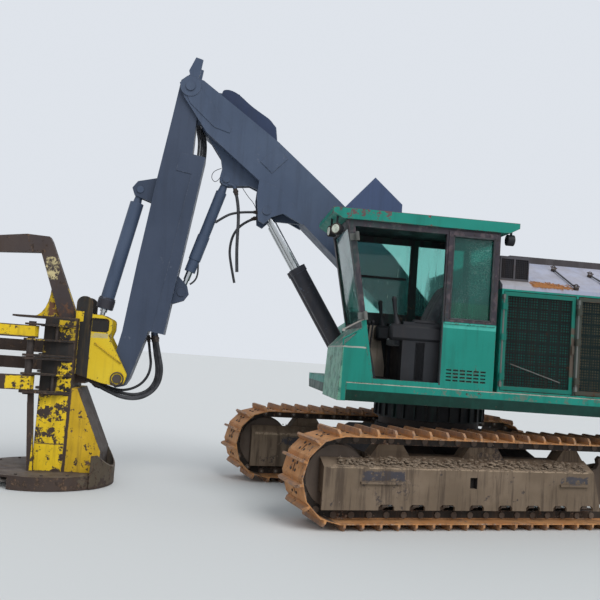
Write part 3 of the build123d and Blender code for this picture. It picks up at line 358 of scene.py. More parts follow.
@dataclass(frozen=True)
class WornPaint(Finish):
    """Paint or bare metal with fading, chips, streaks and settled dust; on the boom's slate finishes the
    pale chips along edges are a painted highlight and the blue-grey dust on tops is partly painted sky
    light.
    """

    colour: Colour = (0.5, 0.5, 0.5)
    faded: Colour = (0.6, 0.6, 0.6)
    fade: float = 0.6
    under: Colour = (0.045, 0.022, 0.014)
    under_light: Colour = (0.2, 0.075, 0.03)
    chip_scale: float = 18.0
    chip_threshold: float = 0.66
    edge: float = 0.1
    edge_radius: float = 0.012
    streak: float = 0.3
    streak_scale: float = 12.0
    streak_threshold: float = 0.47
    streak_colour: Colour = (0.06, 0.035, 0.022)
    dust: float = 0.3
    low_height: float = 0.0
    low_dust: float = 0.0
    dust_colour: Colour = (0.3, 0.25, 0.2)
    roughness: float = 0.42
    worn_roughness: float = 0.85
    metallic: float = 0.0
    bump: float = 0.25
    bump_depth: float = 0.004
    grain: float = 90.0
    specular: float = 0.28
    turn: float = 0.0
    rear: Colour | None = None
    rear_slope: float = 0.5
    regions: tuple[Region, ...] = ()

    def coat(self, w: Wiring, effects: Effects) -> bpy.types.NodeSocket:
        """Return the colour of the coat before it wears.

        Args:
            w: The material's wiring.
            effects: The shared node groups.

        Returns:
            The colour.
        """
        base = w.mix(w.math("MULTIPLY", w.patches(1.3, 5.0, 0.35, 0.7), self.fade), self.colour, self.faded)
        place = w.turned(w.here(), -self.turn)
        for region in self.regions:
            mask = w.effect(effects.region, {"Ragged": region.ragged, "Soft": region.soft, "Place": place,
                                             "Low": region.low, "High": region.high})
            if region.patchy:
                left = w.ramp(w.noise(place, 10.0, 9.0, 0.7), region.patchy - 0.015, region.patchy + 0.015)
                mask = w.math("MULTIPLY", mask, left)
            lighter = tuple(min(1.0, c * 1.25 + 0.004) for c in region.colour)
            tone = w.mix(w.patches(4.0, 5.0, 0.3, 0.75), region.colour, lighter)
            base = w.mix(mask, base, tone)
        if self.rear:
            behind = w.ramp(w.facing().outputs["X"], 0.1 - self.rear_slope, -0.1 - self.rear_slope)
            base = w.mix(behind, base, self.rear)
        return base

    def make(self, effects: Effects) -> bpy.types.Material:
        """Make the material.

        Args:
            effects: The shared node groups.

        Returns:
            The finished material.
        """
        material, w, shader = self.start()
        base = self.coat(w, effects)
        runs = w.effect(effects.streaks, {"Scale": self.streak_scale, "Threshold": self.streak_threshold})
        base = w.mix(w.math("MULTIPLY", runs, self.streak), base, self.streak_colour)
        chips = w.effect(effects.chips, {"Scale": self.chip_scale, "Threshold": self.chip_threshold,
                                         "Edge": self.edge, "Radius": self.edge_radius})
        # Chip colour: rust or bare metal under the paint; on the boom's slate finishes it is a pale
        # blue-grey that paints a highlight along plate edges.
        rust = w.mix(w.patches(26.0, 6.0, 0.42, 0.66, 0.7), self.under, self.under_light)
        base = w.mix(chips, base, rust)
        # Dust on faces that look up; on the boom its blue-grey colour is also painted sky light.
        dust = w.effect(effects.dust, {"Top": self.dust, "Low Height": self.low_height,
                                       "Low Amount": self.low_dust})
        base = w.mix(dust, base, self.dust_colour)
        w.feed(shader.inputs["Base Color"], base)
        worn = w.math("MAXIMUM", chips, dust)
        mottled = w.math("MULTIPLY", w.patches(9.0, 5.0, 0.3, 0.7), 0.15)
        rough = w.math("ADD", w.math("MULTIPLY", worn, self.worn_roughness - self.roughness), self.roughness)
        w.feed(shader.inputs["Roughness"], w.math("ADD", rough, mottled))
        shader.inputs["Metallic"].default_value = self.metallic
        shader.inputs["Specular IOR Level"].default_value = self.specular
        grain = w.math("MULTIPLY", w.noise(w.here(), self.grain, 4.0), 0.35)
        height = w.math("SUBTRACT", grain, w.math("MULTIPLY", chips, 0.5))
        w.feed(shader.inputs["Normal"], w.bump(self.bump, self.bump_depth, height))
        return material


@dataclass(frozen=True)
class TrackSteel(WornPaint):
    """Rusted shoes with worn bars on dark links, told apart by the height over the loop's pins."""

    reach: float = 1.71
    wheel: float = 0.484
    ring: float = 0.367
    links: Colour = (0.03, 0.024, 0.02)
    bars: Colour = (0.255, 0.165, 0.125)
    plate_top: float = 0.061
    rail_top: float = 0.036

    def coat(self, w: Wiring, effects: Effects) -> bpy.types.NodeSocket:
        """Return the colour of links, plates and bars.

        Args:
            w: The material's wiring.
            effects: The shared node groups.

        Returns:
            The colour.
        """
        split = w.split(w.turned(w.here(), -self.turn))
        along = w.math("SUBTRACT", w.math("ABSOLUTE", split.outputs["X"]), self.reach)
        along = w.math("MAXIMUM", along, 0.0)
        rise = w.math("SUBTRACT", split.outputs["Z"], self.wheel)
        squares = w.math("ADD", w.math("MULTIPLY", along, along), w.math("MULTIPLY", rise, rise))
        over = w.math("SUBTRACT", w.math("SQRT", squares), self.ring)
        rust = w.mix(w.patches(3.0, 6.0, 0.35, 0.65, 0.7), self.colour, self.faded)
        tips = w.mix(w.patches(8.0, 6.0, 0.3, 0.7, 0.7), self.bars, self.faded)
        base = w.mix(w.ramp(over, self.plate_top, self.plate_top + 0.02), rust, tips)
        return w.mix(w.ramp(over, self.rail_top, self.rail_top - 0.008), base, self.links)


@dataclass(frozen=True)
class Glass(Finish):
    """Tinted glass with dust, deeper in the near side window, and fine crazing where it has cracked."""

    tint: Colour = (0.3, 0.78, 0.68)
    near_tint: Colour = (0.03, 0.3, 0.25)
    low_tint: Colour = (0.045, 0.36, 0.24)
    low_height: float = 2.3
    near_from: float = 1.4
    front_tint: Colour = (0.12, 0.36, 0.31)
    front_from: float = 1.15
    border: float = 0.01
    dust_colour: Colour = (0.1, 0.17, 0.15)
    craze_colour: Colour = (0.72, 0.93, 0.88)
    clear: float = 0.86
    index: float = 1.45
    craze: float = 0.6
    craze_scale: float = 34.0
    roughness: float = 0.06

    def make(self, effects: Effects) -> bpy.types.Material:
        """Make the material.

        Args:
            effects: The shared node groups.

        Returns:
            The finished material.
        """
        material, w, shader = self.start()
        cells = w.add("TexVoronoi", {"Vector": w.here(), "Scale": self.craze_scale},
                      feature="DISTANCE_TO_EDGE")
        crack = w.ramp(cells.outputs["Distance"], 0.05, 0.0)
        crack = w.math("MULTIPLY", w.math("MULTIPLY", crack, w.patches(2.2, 3.0, 0.45, 0.62)), self.craze)
        dust = w.effect(effects.streaks, {"Scale": 22.0, "Threshold": 0.5})
        split = w.split(w.here())
        ahead = w.ramp(split.outputs["X"], self.front_from, self.front_from + self.border)
        low = w.ramp(split.outputs["Z"], self.low_height, self.low_height - 2 * self.border)
        beside = w.ramp(split.outputs["Y"], self.near_from, self.near_from + self.border)
        near = w.mix(low, self.near_tint, self.low_tint)
        tint = w.mix(beside, w.mix(ahead, self.tint, self.front_tint), near)
        base = w.mix(w.math("MULTIPLY", dust, 0.3), tint, self.dust_colour)
        w.feed(shader.inputs["Base Color"], w.mix(crack, base, self.craze_colour))
        rough = w.math("ADD", w.math("MULTIPLY", w.math("MAXIMUM", crack, dust), 0.3), self.roughness)
        w.feed(shader.inputs["Roughness"], rough)
        shader.inputs["Transmission Weight"].default_value = self.clear
        shader.inputs["IOR"].default_value = self.index
        w.feed(shader.inputs["Normal"], w.bump(0.2, 0.002, crack))
        return material


@dataclass(frozen=True)
class Rubber(Finish):
    """Black hose rubber with a fine weave under its skin and grey dust."""

    colour: Colour = (0.018, 0.019, 0.022)
    dust_colour: Colour = (0.1, 0.1, 0.11)
    weave: float = 260.0
    roughness: float = 0.5

    def make(self, effects: Effects) -> bpy.types.Material:
        """Make the material.

        Args:
            effects: The shared node groups.

        Returns:
            The finished material.
        """
        material, w, shader = self.start()
        dust = w.effect(effects.dust, {"Top": 0.6, "Low Height": 0.0, "Low Amount": 0.0})
        cloud = w.math("MULTIPLY", w.patches(14.0, 5.0, 0.4, 0.7), 0.5)
        base = w.mix(w.math("MAXIMUM", dust, cloud), self.colour, self.dust_colour)
        w.feed(shader.inputs["Base Color"], base)
        w.feed(shader.inputs["Roughness"], w.math("ADD", w.math("MULTIPLY", cloud, 0.3), self.roughness))
        w.feed(shader.inputs["Normal"], w.bump(0.15, 0.001, w.noise(w.here(), self.weave, 3.0)))
        return material


@dataclass(frozen=True)
class Cloth(Finish):
    """Woven seat cloth, dusty and worn shiny."""

    colour: Colour = (0.026, 0.028, 0.034)
    worn: Colour = (0.085, 0.09, 0.1)
    thread: float = 900.0
    sheen: float = 0.25

    def make(self, effects: Effects) -> bpy.types.Material:
        """Make the material.

        Args:
            effects: The shared node groups.

        Returns:
            The finished material.
        """
        material, w, shader = self.start()
        split = w.split(w.here())
        across = w.math("SINE", w.math("MULTIPLY", split.outputs["Y"], self.thread))
        run = w.math("ADD", split.outputs["X"], split.outputs["Z"])
        along = w.math("SINE", w.math("MULTIPLY", run, self.thread))
        wear = w.patches(6.0, 6.0, 0.42, 0.72)
        w.feed(shader.inputs["Base Color"], w.mix(wear, self.colour, self.worn))
        w.feed(shader.inputs["Roughness"], w.math("ADD", w.math("MULTIPLY", wear, -0.2), 0.9))
        shader.inputs["Sheen Weight"].default_value = self.sheen
        w.feed(shader.inputs["Normal"], w.bump(0.3, 0.001, w.math("MULTIPLY", across, along)))
        return material


@dataclass(frozen=True)
class LampGlass(Finish):
    """A work lamp's pale ribbed lens."""

    colour: Colour = (0.62, 0.66, 0.55)
    dirt_colour: Colour = (0.3, 0.33, 0.27)
    ribs: float = 420.0

    def make(self, effects: Effects) -> bpy.types.Material:
        """Make the material.

        Args:
            effects: The shared node groups.

        Returns:
            The finished material.
        """
        material, w, shader = self.start()
        dirt = w.patches(40.0, 5.0, 0.4, 0.75)
        w.feed(shader.inputs["Base Color"], w.mix(dirt, self.colour, self.dirt_colour))
        w.feed(shader.inputs["Roughness"], w.math("ADD", w.math("MULTIPLY", dirt, 0.4), 0.12))
        height = w.math("SINE", w.math("MULTIPLY", w.split(w.here()).outputs["Z"], self.ribs))
        w.feed(shader.inputs["Normal"], w.bump(0.4, 0.001, height))
        return material


TEAL = (0.004, 0.205, 0.155)
TEAL_FADED = (0.012, 0.262, 0.205)
TEAL_DARK = (0.003, 0.036, 0.027)
DARK_FRAME = (0.032, 0.026, 0.034)
INTERIOR = (0.012, 0.012, 0.014)
SLATE = (0.04, 0.055, 0.09)
SLATE_FADED = (0.057, 0.075, 0.118)
YELLOW = (0.68, 0.46, 0.012)
YELLOW_FADED = (0.74, 0.55, 0.035)
# Near black: dark steel under worn paint, and patches in slots, on a band of the track frames and between
# the tower's plates.
NEAR_BLACK = (0.017, 0.015, 0.014)
HEAD_RUST = (0.045, 0.031, 0.026)
MUD = (0.135, 0.098, 0.066)


class Finishes:
    """Every finish of the machine, made once and handed out by name."""

    def __init__(self, effects: Effects) -> None:
        """Make all the materials."""
        self.materials = {finish.name: finish.make(effects) for finish in self.paints() + self.others()}

    def paints(self) -> list[Finish]:
        """Return the painted and bare metal finishes."""
        house = dict(colour=TEAL, faded=TEAL_FADED, chip_threshold=0.61, edge=0.12, streak=0.3,
                     streak_colour=(0.006, 0.085, 0.062), dust=0.3, under=(0.045, 0.035, 0.03),
                     under_light=(0.15, 0.12, 0.09))
        # Boom's slate finishes: the pale blue-grey chip colours (under, under_light), strongest along edges,
        # paint the sky's reflection on plate edges over real chips; the blue-grey dust colour is dust with
        # painted sky light on faces that look up.
        boom = dict(colour=SLATE, faded=SLATE_FADED, chip_threshold=0.63, edge=0.16, edge_radius=0.009,
                    streak=0.2, streak_colour=(0.022, 0.028, 0.042), dust=0.2,
                    dust_colour=(0.13, 0.145, 0.18), roughness=0.38, under=(0.075, 0.09, 0.125),
                    under_light=(0.17, 0.19, 0.24), bump=0.15)
        head = dict(colour=HEAD_RUST, faded=(0.08, 0.055, 0.043), chip_threshold=0.56, chip_scale=14.0,
                    edge=0.16, streak=0.35, dust=0.3, roughness=0.6, bump=0.5, under=(0.04, 0.028, 0.022),
                    under_light=(0.16, 0.1, 0.065))
        steel = dict(chip_threshold=0.66, edge=0.12, streak=0.3, dust=0.45, roughness=0.6, bump=0.4)
        return [
            TrackSteel("track_shoes", turn=12.4, colour=(0.43, 0.185, 0.062), faded=(0.5, 0.25, 0.1),
                       chip_threshold=0.57, chip_scale=24.0, edge=0.1, under=(0.11, 0.055, 0.033),
                       under_light=(0.4, 0.3, 0.23), streak=0.4, streak_colour=(0.1, 0.055, 0.03),
                       dust=0.15, dust_colour=(0.34, 0.22, 0.14), roughness=0.6, bump=0.5),
            WornPaint("frame_mud", turn=12.4, colour=MUD, faded=(0.2, 0.148, 0.103), fade=1.0,
                      chip_threshold=0.57, chip_scale=8.0, edge=0.04, under=(0.062, 0.05, 0.045),
                      under_light=(0.25, 0.18, 0.125), streak=0.75, streak_scale=14.0,
                      streak_colour=(0.06, 0.042, 0.03), dust=0.8, dust_colour=(0.2, 0.15, 0.105),
                      low_height=0.3, low_dust=0.5, roughness=0.8, bump=0.9, grain=40.0, regions=(
                Region((-1.2, -1.7, 0.585), (1.85, 1.7, 0.618), (0.3, 0.225, 0.155), 0.03, 0.004, 0.46),
                Region((-1.2, -1.7, 0.618), (1.85, 1.7, 0.76), (0.115, 0.082, 0.055), 0.03, 0.02, 0.44),
                Region((1.02, -1.7, 0.46), (1.5, 1.7, 0.575), (0.05, 0.047, 0.055), 0.07, 0.02, 0.44),
                Region((-1.16, -1.7, 0.46), (-0.8, 1.7, 0.56), (0.055, 0.052, 0.058), 0.07, 0.02, 0.47),
                Region((0.2, -1.503, 0.4), (0.306, 1.503, 0.527), NEAR_BLACK))),
            WornPaint("wheel_steel", colour=(0.088, 0.066, 0.052), faded=(0.14, 0.106, 0.084),
                      low_height=0.9, low_dust=0.5, dust_colour=(0.17, 0.13, 0.1), **steel),
            WornPaint("car_body_paint", colour=(0.022, 0.022, 0.026), faded=(0.045, 0.038, 0.034),
                      low_height=1.0, low_dust=0.3, dust_colour=(0.1, 0.08, 0.065), **steel),
            WornPaint("deck_paint", **house, regions=(
                Region((-3.0, -1.44, 0.9), (1.9, 1.44, 1.3), (0.008, 0.009, 0.012)),
                Region((-3.0, -1.6, 1.2), (1.9, 1.6, 1.3225), TEAL_DARK),
                Region((-3.0, 1.4, 1.3225), (0.6, 1.6, 1.39), (0.085, 0.15, 0.115), 0.05, 0.01, 0.53),
                Region((-3.0, 1.4, 1.39), (1.9, 1.6, 1.42), (0.38, 0.36, 0.3), 0.006, 0.002, 0.34))),
            WornPaint("house_paint", **house),
            WornPaint("post_paint", **house, regions=(
                Region((-1.16, 1.39, 1.41), (-1.08, 1.6, 2.44), (0.03, 0.045, 0.038), 0.02, 0.01),)),
            WornPaint("front_door_paint", **{**house, "colour": (0.003, 0.135, 0.1),
                      "faded": (0.006, 0.185, 0.14)}, regions=(
                Region((-1.13, 1.39, 1.6), (-1.055, 1.6, 2.13), (0.085, 0.062, 0.046), 0.06, 0.01, 0.4),)),
            WornPaint("rear_door_paint", colour=(0.04, 0.05, 0.038), faded=(0.062, 0.058, 0.043),
                      chip_threshold=0.57, edge=0.12, streak=0.4, dust=0.3, roughness=0.55),
            WornPaint("cab_paint", **house, regions=(
                Region((-0.6, 0.3, 2.083), (1.8, 1.6, 3.2), DARK_FRAME),
                Region((-0.6, 1.4, 2.083), (1.8, 1.6, 3.2), (0.075, 0.055, 0.062), 0.03, 0.01, 0.54),
                Region((-0.19, 0.52, 1.43), (1.36, 1.455, 3.07), INTERIOR),
                Region((-0.15, 1.48, 1.47), (0.3, 1.4875, 1.61), (0.008, 0.03, 0.026)),
                Region((-0.24, 1.4, 2.02), (0.35, 1.6, 2.078), (0.05, 0.36, 0.29), 0.005, 0.002, 0.4),
                Region((0.33, 1.4, 1.43), (0.352, 1.6, 2.1), (0.03, 0.035, 0.04), 0.01, 0.004))),
            WornPaint("cab_roof_paint", **{**house, "under": (0.12, 0.032, 0.03),
                      "under_light": (0.24, 0.09, 0.075), "edge": 0.16}, regions=(
                Region((-0.23, 0.48, 3.0), (1.4, 1.5, 3.058), (0.016, 0.013, 0.016)),
                Region((0.95, 1.45, 3.06), (1.6, 1.6, 3.2), (0.115, 0.06, 0.06), 0.02, 0.004, 0.545))),
            WornPaint("nose_paint", **{**house, "edge": 0.16}, regions=(
                Region((1.345, 0.3, 1.2), (1.42, 1.6, 1.757), (0.125, 0.3, 0.215), 0.02, 0.01),
                Region((1.345, 0.3, 1.2), (1.42, 1.6, 1.757), (0.045, 0.17, 0.125), 0.03, 0.01, 0.53),
                Region((1.1, 0.3, 1.745), (1.42, 1.6, 1.765), (0.32, 0.33, 0.29), 0.01, 0.004),
                Region((1.1, 0.3, 1.765), (1.38, 1.48, 2.0), (0.02, 0.165, 0.125), 0.02, 0.01),
                Region((1.1, 0.3, 1.765), (1.38, 1.48, 2.0), (0.24, 0.25, 0.22), 0.02, 0.01, 0.55))),
            WornPaint("hood_paint", colour=(0.34, 0.36, 0.46), faded=(0.44, 0.45, 0.54),
                      chip_threshold=0.72, edge=0.1, streak=0.2, streak_colour=(0.14, 0.13, 0.14), dust=0.3,
                      roughness=0.45, regions=(
                Region((-2.0, -0.86, 2.862), (-0.5, 0.86, 3.0), (0.05, 0.042, 0.044)),
                Region((-0.98, 1.24, 2.5), (-0.6, 1.5, 2.6), (0.33, 0.16, 0.08), 0.12, 0.05))),
            WornPaint("screen_box_paint", colour=(0.06, 0.056, 0.064), faded=(0.09, 0.085, 0.095),
                      chip_threshold=0.7, edge=0.12, streak=0.2, dust=0.3, regions=(
                Region((-0.7, 1.37, 2.4), (-0.2, 1.6, 2.6), (0.34, 0.34, 0.38), 0.01, 0.01),
                Region((-0.7, -1.6, 2.4), (-0.2, -1.37, 2.6), (0.34, 0.34, 0.38), 0.01, 0.01),
                Region((-0.602, 1.33, 2.603), (-0.458, 1.357, 2.814), (0.01, 0.01, 0.012)),
                Region((-0.442, 1.33, 2.603), (-0.303, 1.357, 2.814), (0.01, 0.01, 0.012)))),
            WornPaint("boom_paint", **{**boom, "colour": (0.055, 0.078, 0.128),
                      "faded": (0.08, 0.108, 0.165)}),
            WornPaint("stick_paint", **boom),
            WornPaint("valve_box_paint", **{**boom, "colour": (0.05, 0.075, 0.155),
                      "faded": (0.07, 0.1, 0.19)}),
            WornPaint("guard_paint", **{**boom, "colour": (0.022, 0.036, 0.082),
                      "faded": (0.032, 0.052, 0.11), "roughness": 0.3}),
            WornPaint("bracket_paint", **{**boom, "colour": (0.024, 0.028, 0.042),
                      "faded": (0.04, 0.042, 0.052)}),
            WornPaint("barrel_paint", **{**boom, "colour": (0.032, 0.032, 0.042),
                      "faded": (0.062, 0.054, 0.056), "chip_threshold": 0.59, "streak": 0.4}),
            WornPaint("rod_chrome", colour=(0.62, 0.64, 0.66), faded=(0.4, 0.42, 0.42), metallic=1.0,
                      roughness=0.16, chip_threshold=0.9, edge=0.0, streak=0.35, streak_scale=30.0,
                      streak_colour=(0.2, 0.2, 0.19), dust=0.1, bump=0.03),
            WornPaint("bracket_yellow", colour=YELLOW, faded=YELLOW_FADED, chip_threshold=0.585,
                      chip_scale=20.0, edge=0.2, streak=0.2, streak_colour=(0.25, 0.15, 0.03), dust=0.15,
                      roughness=0.5, under=(0.035, 0.024, 0.02), under_light=(0.15, 0.07, 0.035), regions=(
                Region((4.055, -0.3, 0.9), (4.3, 0.3, 2.2), NEAR_BLACK, 0.006, 0.002),
                Region((4.188, -0.3, 0.9), (4.3, 0.3, 1.83), YELLOW, 0.02, 0.004, 0.45),
                Region((4.15, -0.3, 1.83), (4.3, 0.3, 1.95), YELLOW, 0.02, 0.004, 0.4),
                Region((3.86, -0.3, 1.655), (4.055, 0.3, 1.717), (0.46, 0.38, 0.17), 0.03, 0.01, 0.42),
                Region((3.6, -0.3, 1.1), (4.055, 0.3, 1.175), (0.1, 0.06, 0.03), 0.05, 0.01, 0.52),
                Region((3.86, 0.17, 1.725), (4.055, 0.187, 1.885), NEAR_BLACK, 0.0, 0.001),
                Region((3.86, -0.187, 1.725), (4.055, -0.17, 1.885), NEAR_BLACK, 0.0, 0.001))),
            WornPaint("tower_paint", **head, rear=(0.06, 0.046, 0.039), regions=(
                Region((4.215, -0.5, 0.45), (4.56, 0.5, 0.99), YELLOW, 0.03, 0.01, 0.485),
                Region((4.215, -0.5, 0.15), (4.56, 0.5, 0.45), YELLOW, 0.03, 0.01, 0.43),
                Region((3.8, -0.5, 0.15), (4.19, 0.5, 1.1), (0.5, 0.31, 0.012), 0.02, 0.01, 0.4),
                Region((4.2, -0.5, 1.01), (4.6, 0.5, 1.85), NEAR_BLACK, 0.04, 0.01),
                Region((4.2, -0.5, 1.03), (4.36, 0.5, 1.36), YELLOW, 0.06, 0.01, 0.49),
                Region((4.2, -0.5, 1.6), (4.39, 0.5, 1.83), (0.5, 0.34, 0.012), 0.06, 0.01, 0.49),
                Region((4.5, -0.5, 1.45), (4.7, 0.5, 1.6), (0.4, 0.27, 0.04), 0.05, 0.01, 0.5),
                Region((4.4, -0.31, 0.2), (4.56, 0.31, 1.84), NEAR_BLACK))),
            WornPaint("horn_paint", **{**head, "colour": (0.05, 0.04, 0.042)}, regions=(
                Region((4.2, -0.03, 1.86), (4.8, 0.03, 2.21), YELLOW, 0.03, 0.01, 0.43),
                Region((4.28, -0.07, 1.86), (4.6, 0.07, 2.05), (0.13, 0.06, 0.03), 0.08, 0.02, 0.47),
                Region((4.5, -0.07, 2.29), (4.66, 0.07, 2.56), (0.5, 0.42, 0.22), 0.09, 0.012, 0.47))),
            WornPaint("arm_paint", **head, regions=(
                Region((4.5, -0.6, 1.04), (4.86, 0.6, 1.19), YELLOW, 0.03, 0.01, 0.44),
                Region((4.54, -0.6, 1.62), (5.02, 0.6, 1.74), YELLOW, 0.02, 0.01, 0.4))),
            WornPaint("housing_paint", **head, regions=(
                Region((3.65, -0.8, 0.02), (4.0, 0.8, 0.4), (0.085, 0.066, 0.045), 0.08, 0.02, 0.45),)),
            WornPaint("saw_steel", colour=(0.2, 0.18, 0.165), faded=(0.32, 0.29, 0.26), metallic=0.8,
                      **steel),
            WornPaint("pin_steel", colour=(0.055, 0.045, 0.042), faded=(0.12, 0.1, 0.09), metallic=0.5,
                      **steel),
            WornPaint("bright_steel", colour=(0.4, 0.39, 0.37), faded=(0.3, 0.24, 0.19), metallic=0.7,
                      **steel),
            WornPaint("engine_iron", colour=(0.022, 0.024, 0.024), faded=(0.05, 0.05, 0.046), **steel),
            WornPaint("hinge_steel", colour=(0.115, 0.128, 0.12), faded=(0.2, 0.195, 0.18), **steel),
            # The door screens' teal and tan grids behind the near-black grid: the screen's own colours,
            # painted about three times brighter as light against the shade they lie in.
            WornPaint("front_screen_painted_light", colour=(0.03, 0.45, 0.35), faded=(0.05, 0.56, 0.44),
                      chip_threshold=0.6, edge=0.0, streak=0.5, dust=0.2, roughness=0.7),
            WornPaint("rear_screen_painted_light", colour=(0.52, 0.41, 0.23), faded=(0.68, 0.55, 0.34),
                      chip_threshold=0.6, edge=0.0, streak=0.5, dust=0.2, roughness=0.7),
            # Near-black grid on the doors: painted shade standing for the dark gaps between the screen's
            # wires, on the CAD grille bars and the front weave.
            WornPaint("screen_painted_shade", colour=(0.005, 0.016, 0.014), faded=(0.01, 0.024, 0.021),
                      chip_threshold=0.62, edge=0.0, streak=0.2, dust=0.2, dust_colour=(0.03, 0.04, 0.036),
                      roughness=0.6),
            WornPaint("box_screen_wire", colour=(0.022, 0.02, 0.026), faded=(0.035, 0.032, 0.042),
                      chip_threshold=0.7, edge=0.0, streak=0.2, dust=0.2, roughness=0.6),
            WornPaint("cab_plastic", colour=(0.014, 0.015, 0.018), faded=(0.028, 0.029, 0.034),
                      chip_threshold=0.7, edge=0.0, streak=0.1, dust=0.25, dust_colour=(0.07, 0.065, 0.06),
                      roughness=0.5, bump=0.3, grain=400.0),
            WornPaint("trim_board", colour=(0.36, 0.3, 0.24), faded=(0.46, 0.4, 0.33),
                      chip_threshold=0.72, edge=0.05, streak=0.4, dust=0.2, roughness=0.7),
            WornPaint("dry_needles", colour=(0.33, 0.14, 0.05), faded=(0.5, 0.27, 0.11),
                      chip_threshold=0.9, edge=0.0, streak=0.0, dust=0.0, roughness=0.9),
            WornPaint("dry_clods", colour=(0.19, 0.145, 0.105), faded=(0.3, 0.23, 0.165),
                      chip_threshold=0.7, edge=0.0, streak=0.0, dust=0.3, roughness=0.95, bump=0.9),
        ]

    def others(self) -> list[Finish]:
        """Return the glass, rubber, cloth and lens finishes."""
        return [Glass("cab_glass_tint"), Rubber("hose_rubber"), Cloth("seat_cloth"), LampGlass("lamp_lens")]

    def get(self, name: str) -> bpy.types.Material:
        """Return a material by its name."""
        return self.materials[name]

    def dress(self, node: str, name: str) -> None:
        """Give a CAD node a material.

        Args:
            node: The node's name.
            name: The material's name.
        """
        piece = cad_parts[node]
        if not piece.material_slots:
            piece.data.materials.append(None)
        for place in piece.material_slots:
            place.material = self.get(name)


class Shape:
    """A new piece's mesh in the making."""

    def __init__(self) -> None:
        """Start with nothing."""
        self.mesh = bmesh.new()

    def edges_at(self, verts: Iterable[bmesh.types.BMVert]) -> list[bmesh.types.BMEdge]:
        """Return the edges at these vertices, each once and in order."""
        return list(dict.fromkeys(edge for vert in verts for edge in vert.link_edges))

    def block(self, low: Sequence[float], high: Sequence[float], bevel: float = 0.0,
              turn: Matrix | None = None) -> None:
        """Add a box.

        Args:
            low: Its corner with the lowest values.
            high: Its corner with the highest values.
            bevel: How wide its edges are broken.
            turn: How it is turned about its centre.
        """
        size, centre = Vector(high) - Vector(low), (Vector(high) + Vector(low)) / 2
        place = Matrix.Translation(centre) @ (turn or Matrix.Identity(4)) @ Matrix.Diagonal((*size, 1.0))
        made = bmesh.ops.create_cube(self.mesh, size=1.0, matrix=place)
        if bevel:
            bmesh.ops.bevel(self.mesh, geom=self.edges_at(made["verts"]), offset=bevel, segments=1,
                            affect="EDGES", profile=0.5, material=-1)

    def rod(self, start: Sequence[float], end: Sequence[float], radius: float, sides: int = 14,
            tip: float | None = None) -> None:
        """Add a round bar or a cone.

        Args:
            start: The middle of its first end.
            end: The middle of its other end.
            radius: Its radius at the start.
            sides: How many flats go round it.
            tip: Its radius at the end, where that differs.
        """
        way = Vector(end) - Vector(start)
        turn = way.to_track_quat("Z", "Y").to_matrix().to_4x4()
        place = Matrix.Translation((Vector(start) + Vector(end)) / 2) @ turn
        bmesh.ops.create_cone(self.mesh, cap_ends=True, cap_tris=False, segments=sides, radius1=radius,
                              radius2=radius if tip is None else tip, depth=way.length, matrix=place)

    def bolt(self, place: Sequence[float], axis: Sequence[float], radius: float = 0.016,
             height: float = 0.012) -> None:
        """Add a hexagon bolt head that stands on a surface."""
        start = Vector(place)
        self.rod(start, start + Vector(axis).normalized() * height, radius, 6)

    def lump(self, centre: Sequence[float], size: Point, detail: int = 1) -> None:
        """Add a rounded lump."""
        place = Matrix.Translation(centre) @ Matrix.Diagonal((*size, 1.0))
        bmesh.ops.create_icosphere(self.mesh, subdivisions=detail, radius=1.0, matrix=place)

    def ring(self, centre: Sequence[float], axis: Sequence[float], radius: float, thick: float,
             steps: int = 28, sides: int = 6) -> None:
        """Add a round ring.

        Args:
            centre: Its centre.
            axis: The axis that it goes round.
            radius: From its centre to the middle of its wire.
            thick: Its wire's radius.
            steps: How many pieces go round the axis.
            sides: How many flats go round the wire.
        """
        turn = Vector(axis).to_track_quat("Z", "Y").to_matrix().to_4x4()
        place = (Matrix.Translation(centre) @ turn @ Matrix.Translation((radius, 0.0, 0.0))
                 @ Matrix.Rotation(math.pi / 2, 4, "X"))
        made = bmesh.ops.create_circle(self.mesh, cap_ends=False, segments=sides, radius=thick, matrix=place)
        bmesh.ops.spin(self.mesh, geom=made["verts"] + self.edges_at(made["verts"]), cent=Vector(centre),
                       axis=Vector(axis), dvec=(0.0, 0.0, 0.0), angle=2 * math.pi, steps=steps,
                       use_merge=True, use_duplicate=False)

    def plate(self, corners: Iterable[Sequence[float]], along: Sequence[float]) -> None:
        """Add a plate.

        Args:
            corners: The corners of its outline.
            along: How far it reaches from them.
        """
        face = self.mesh.faces.new([self.mesh.verts.new(corner) for corner in corners])
        made = bmesh.ops.extrude_face_region(self.mesh, geom=[face])
        moved = [item for item in made["geom"] if isinstance(item, bmesh.types.BMVert)]
        bmesh.ops.translate(self.mesh, verts=moved, vec=Vector(along))

    def finish(self, name: str, body: Body, material: bpy.types.Material, slot: str,
               smooth: bool = False) -> bpy.types.Object:
        """Turn the mesh into a piece that rides on a body.

        Args:
            name: The piece's name.
            body: What it rides on.
            material: Its finish.
            slot: The record's material slot that it belongs to; not used.
            smooth: Whether gentle angles are shaded smooth.

        Returns:
            The piece.
        """
        bmesh.ops.recalc_face_normals(self.mesh, faces=self.mesh.faces)
        data = bpy.data.meshes.new(name)
        self.mesh.to_mesh(data)
        self.mesh.free()
        if smooth:
            data.polygons.foreach_set("use_smooth", [True] * len(data.polygons))
            data.set_sharp_from_angle(angle=SMOOTH_ANGLE)
        piece = place_object(name, data)
        data.materials.append(material)
        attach(piece, body.value)
        log.info("%s: %d faces", name, len(data.polygons))
        return piece


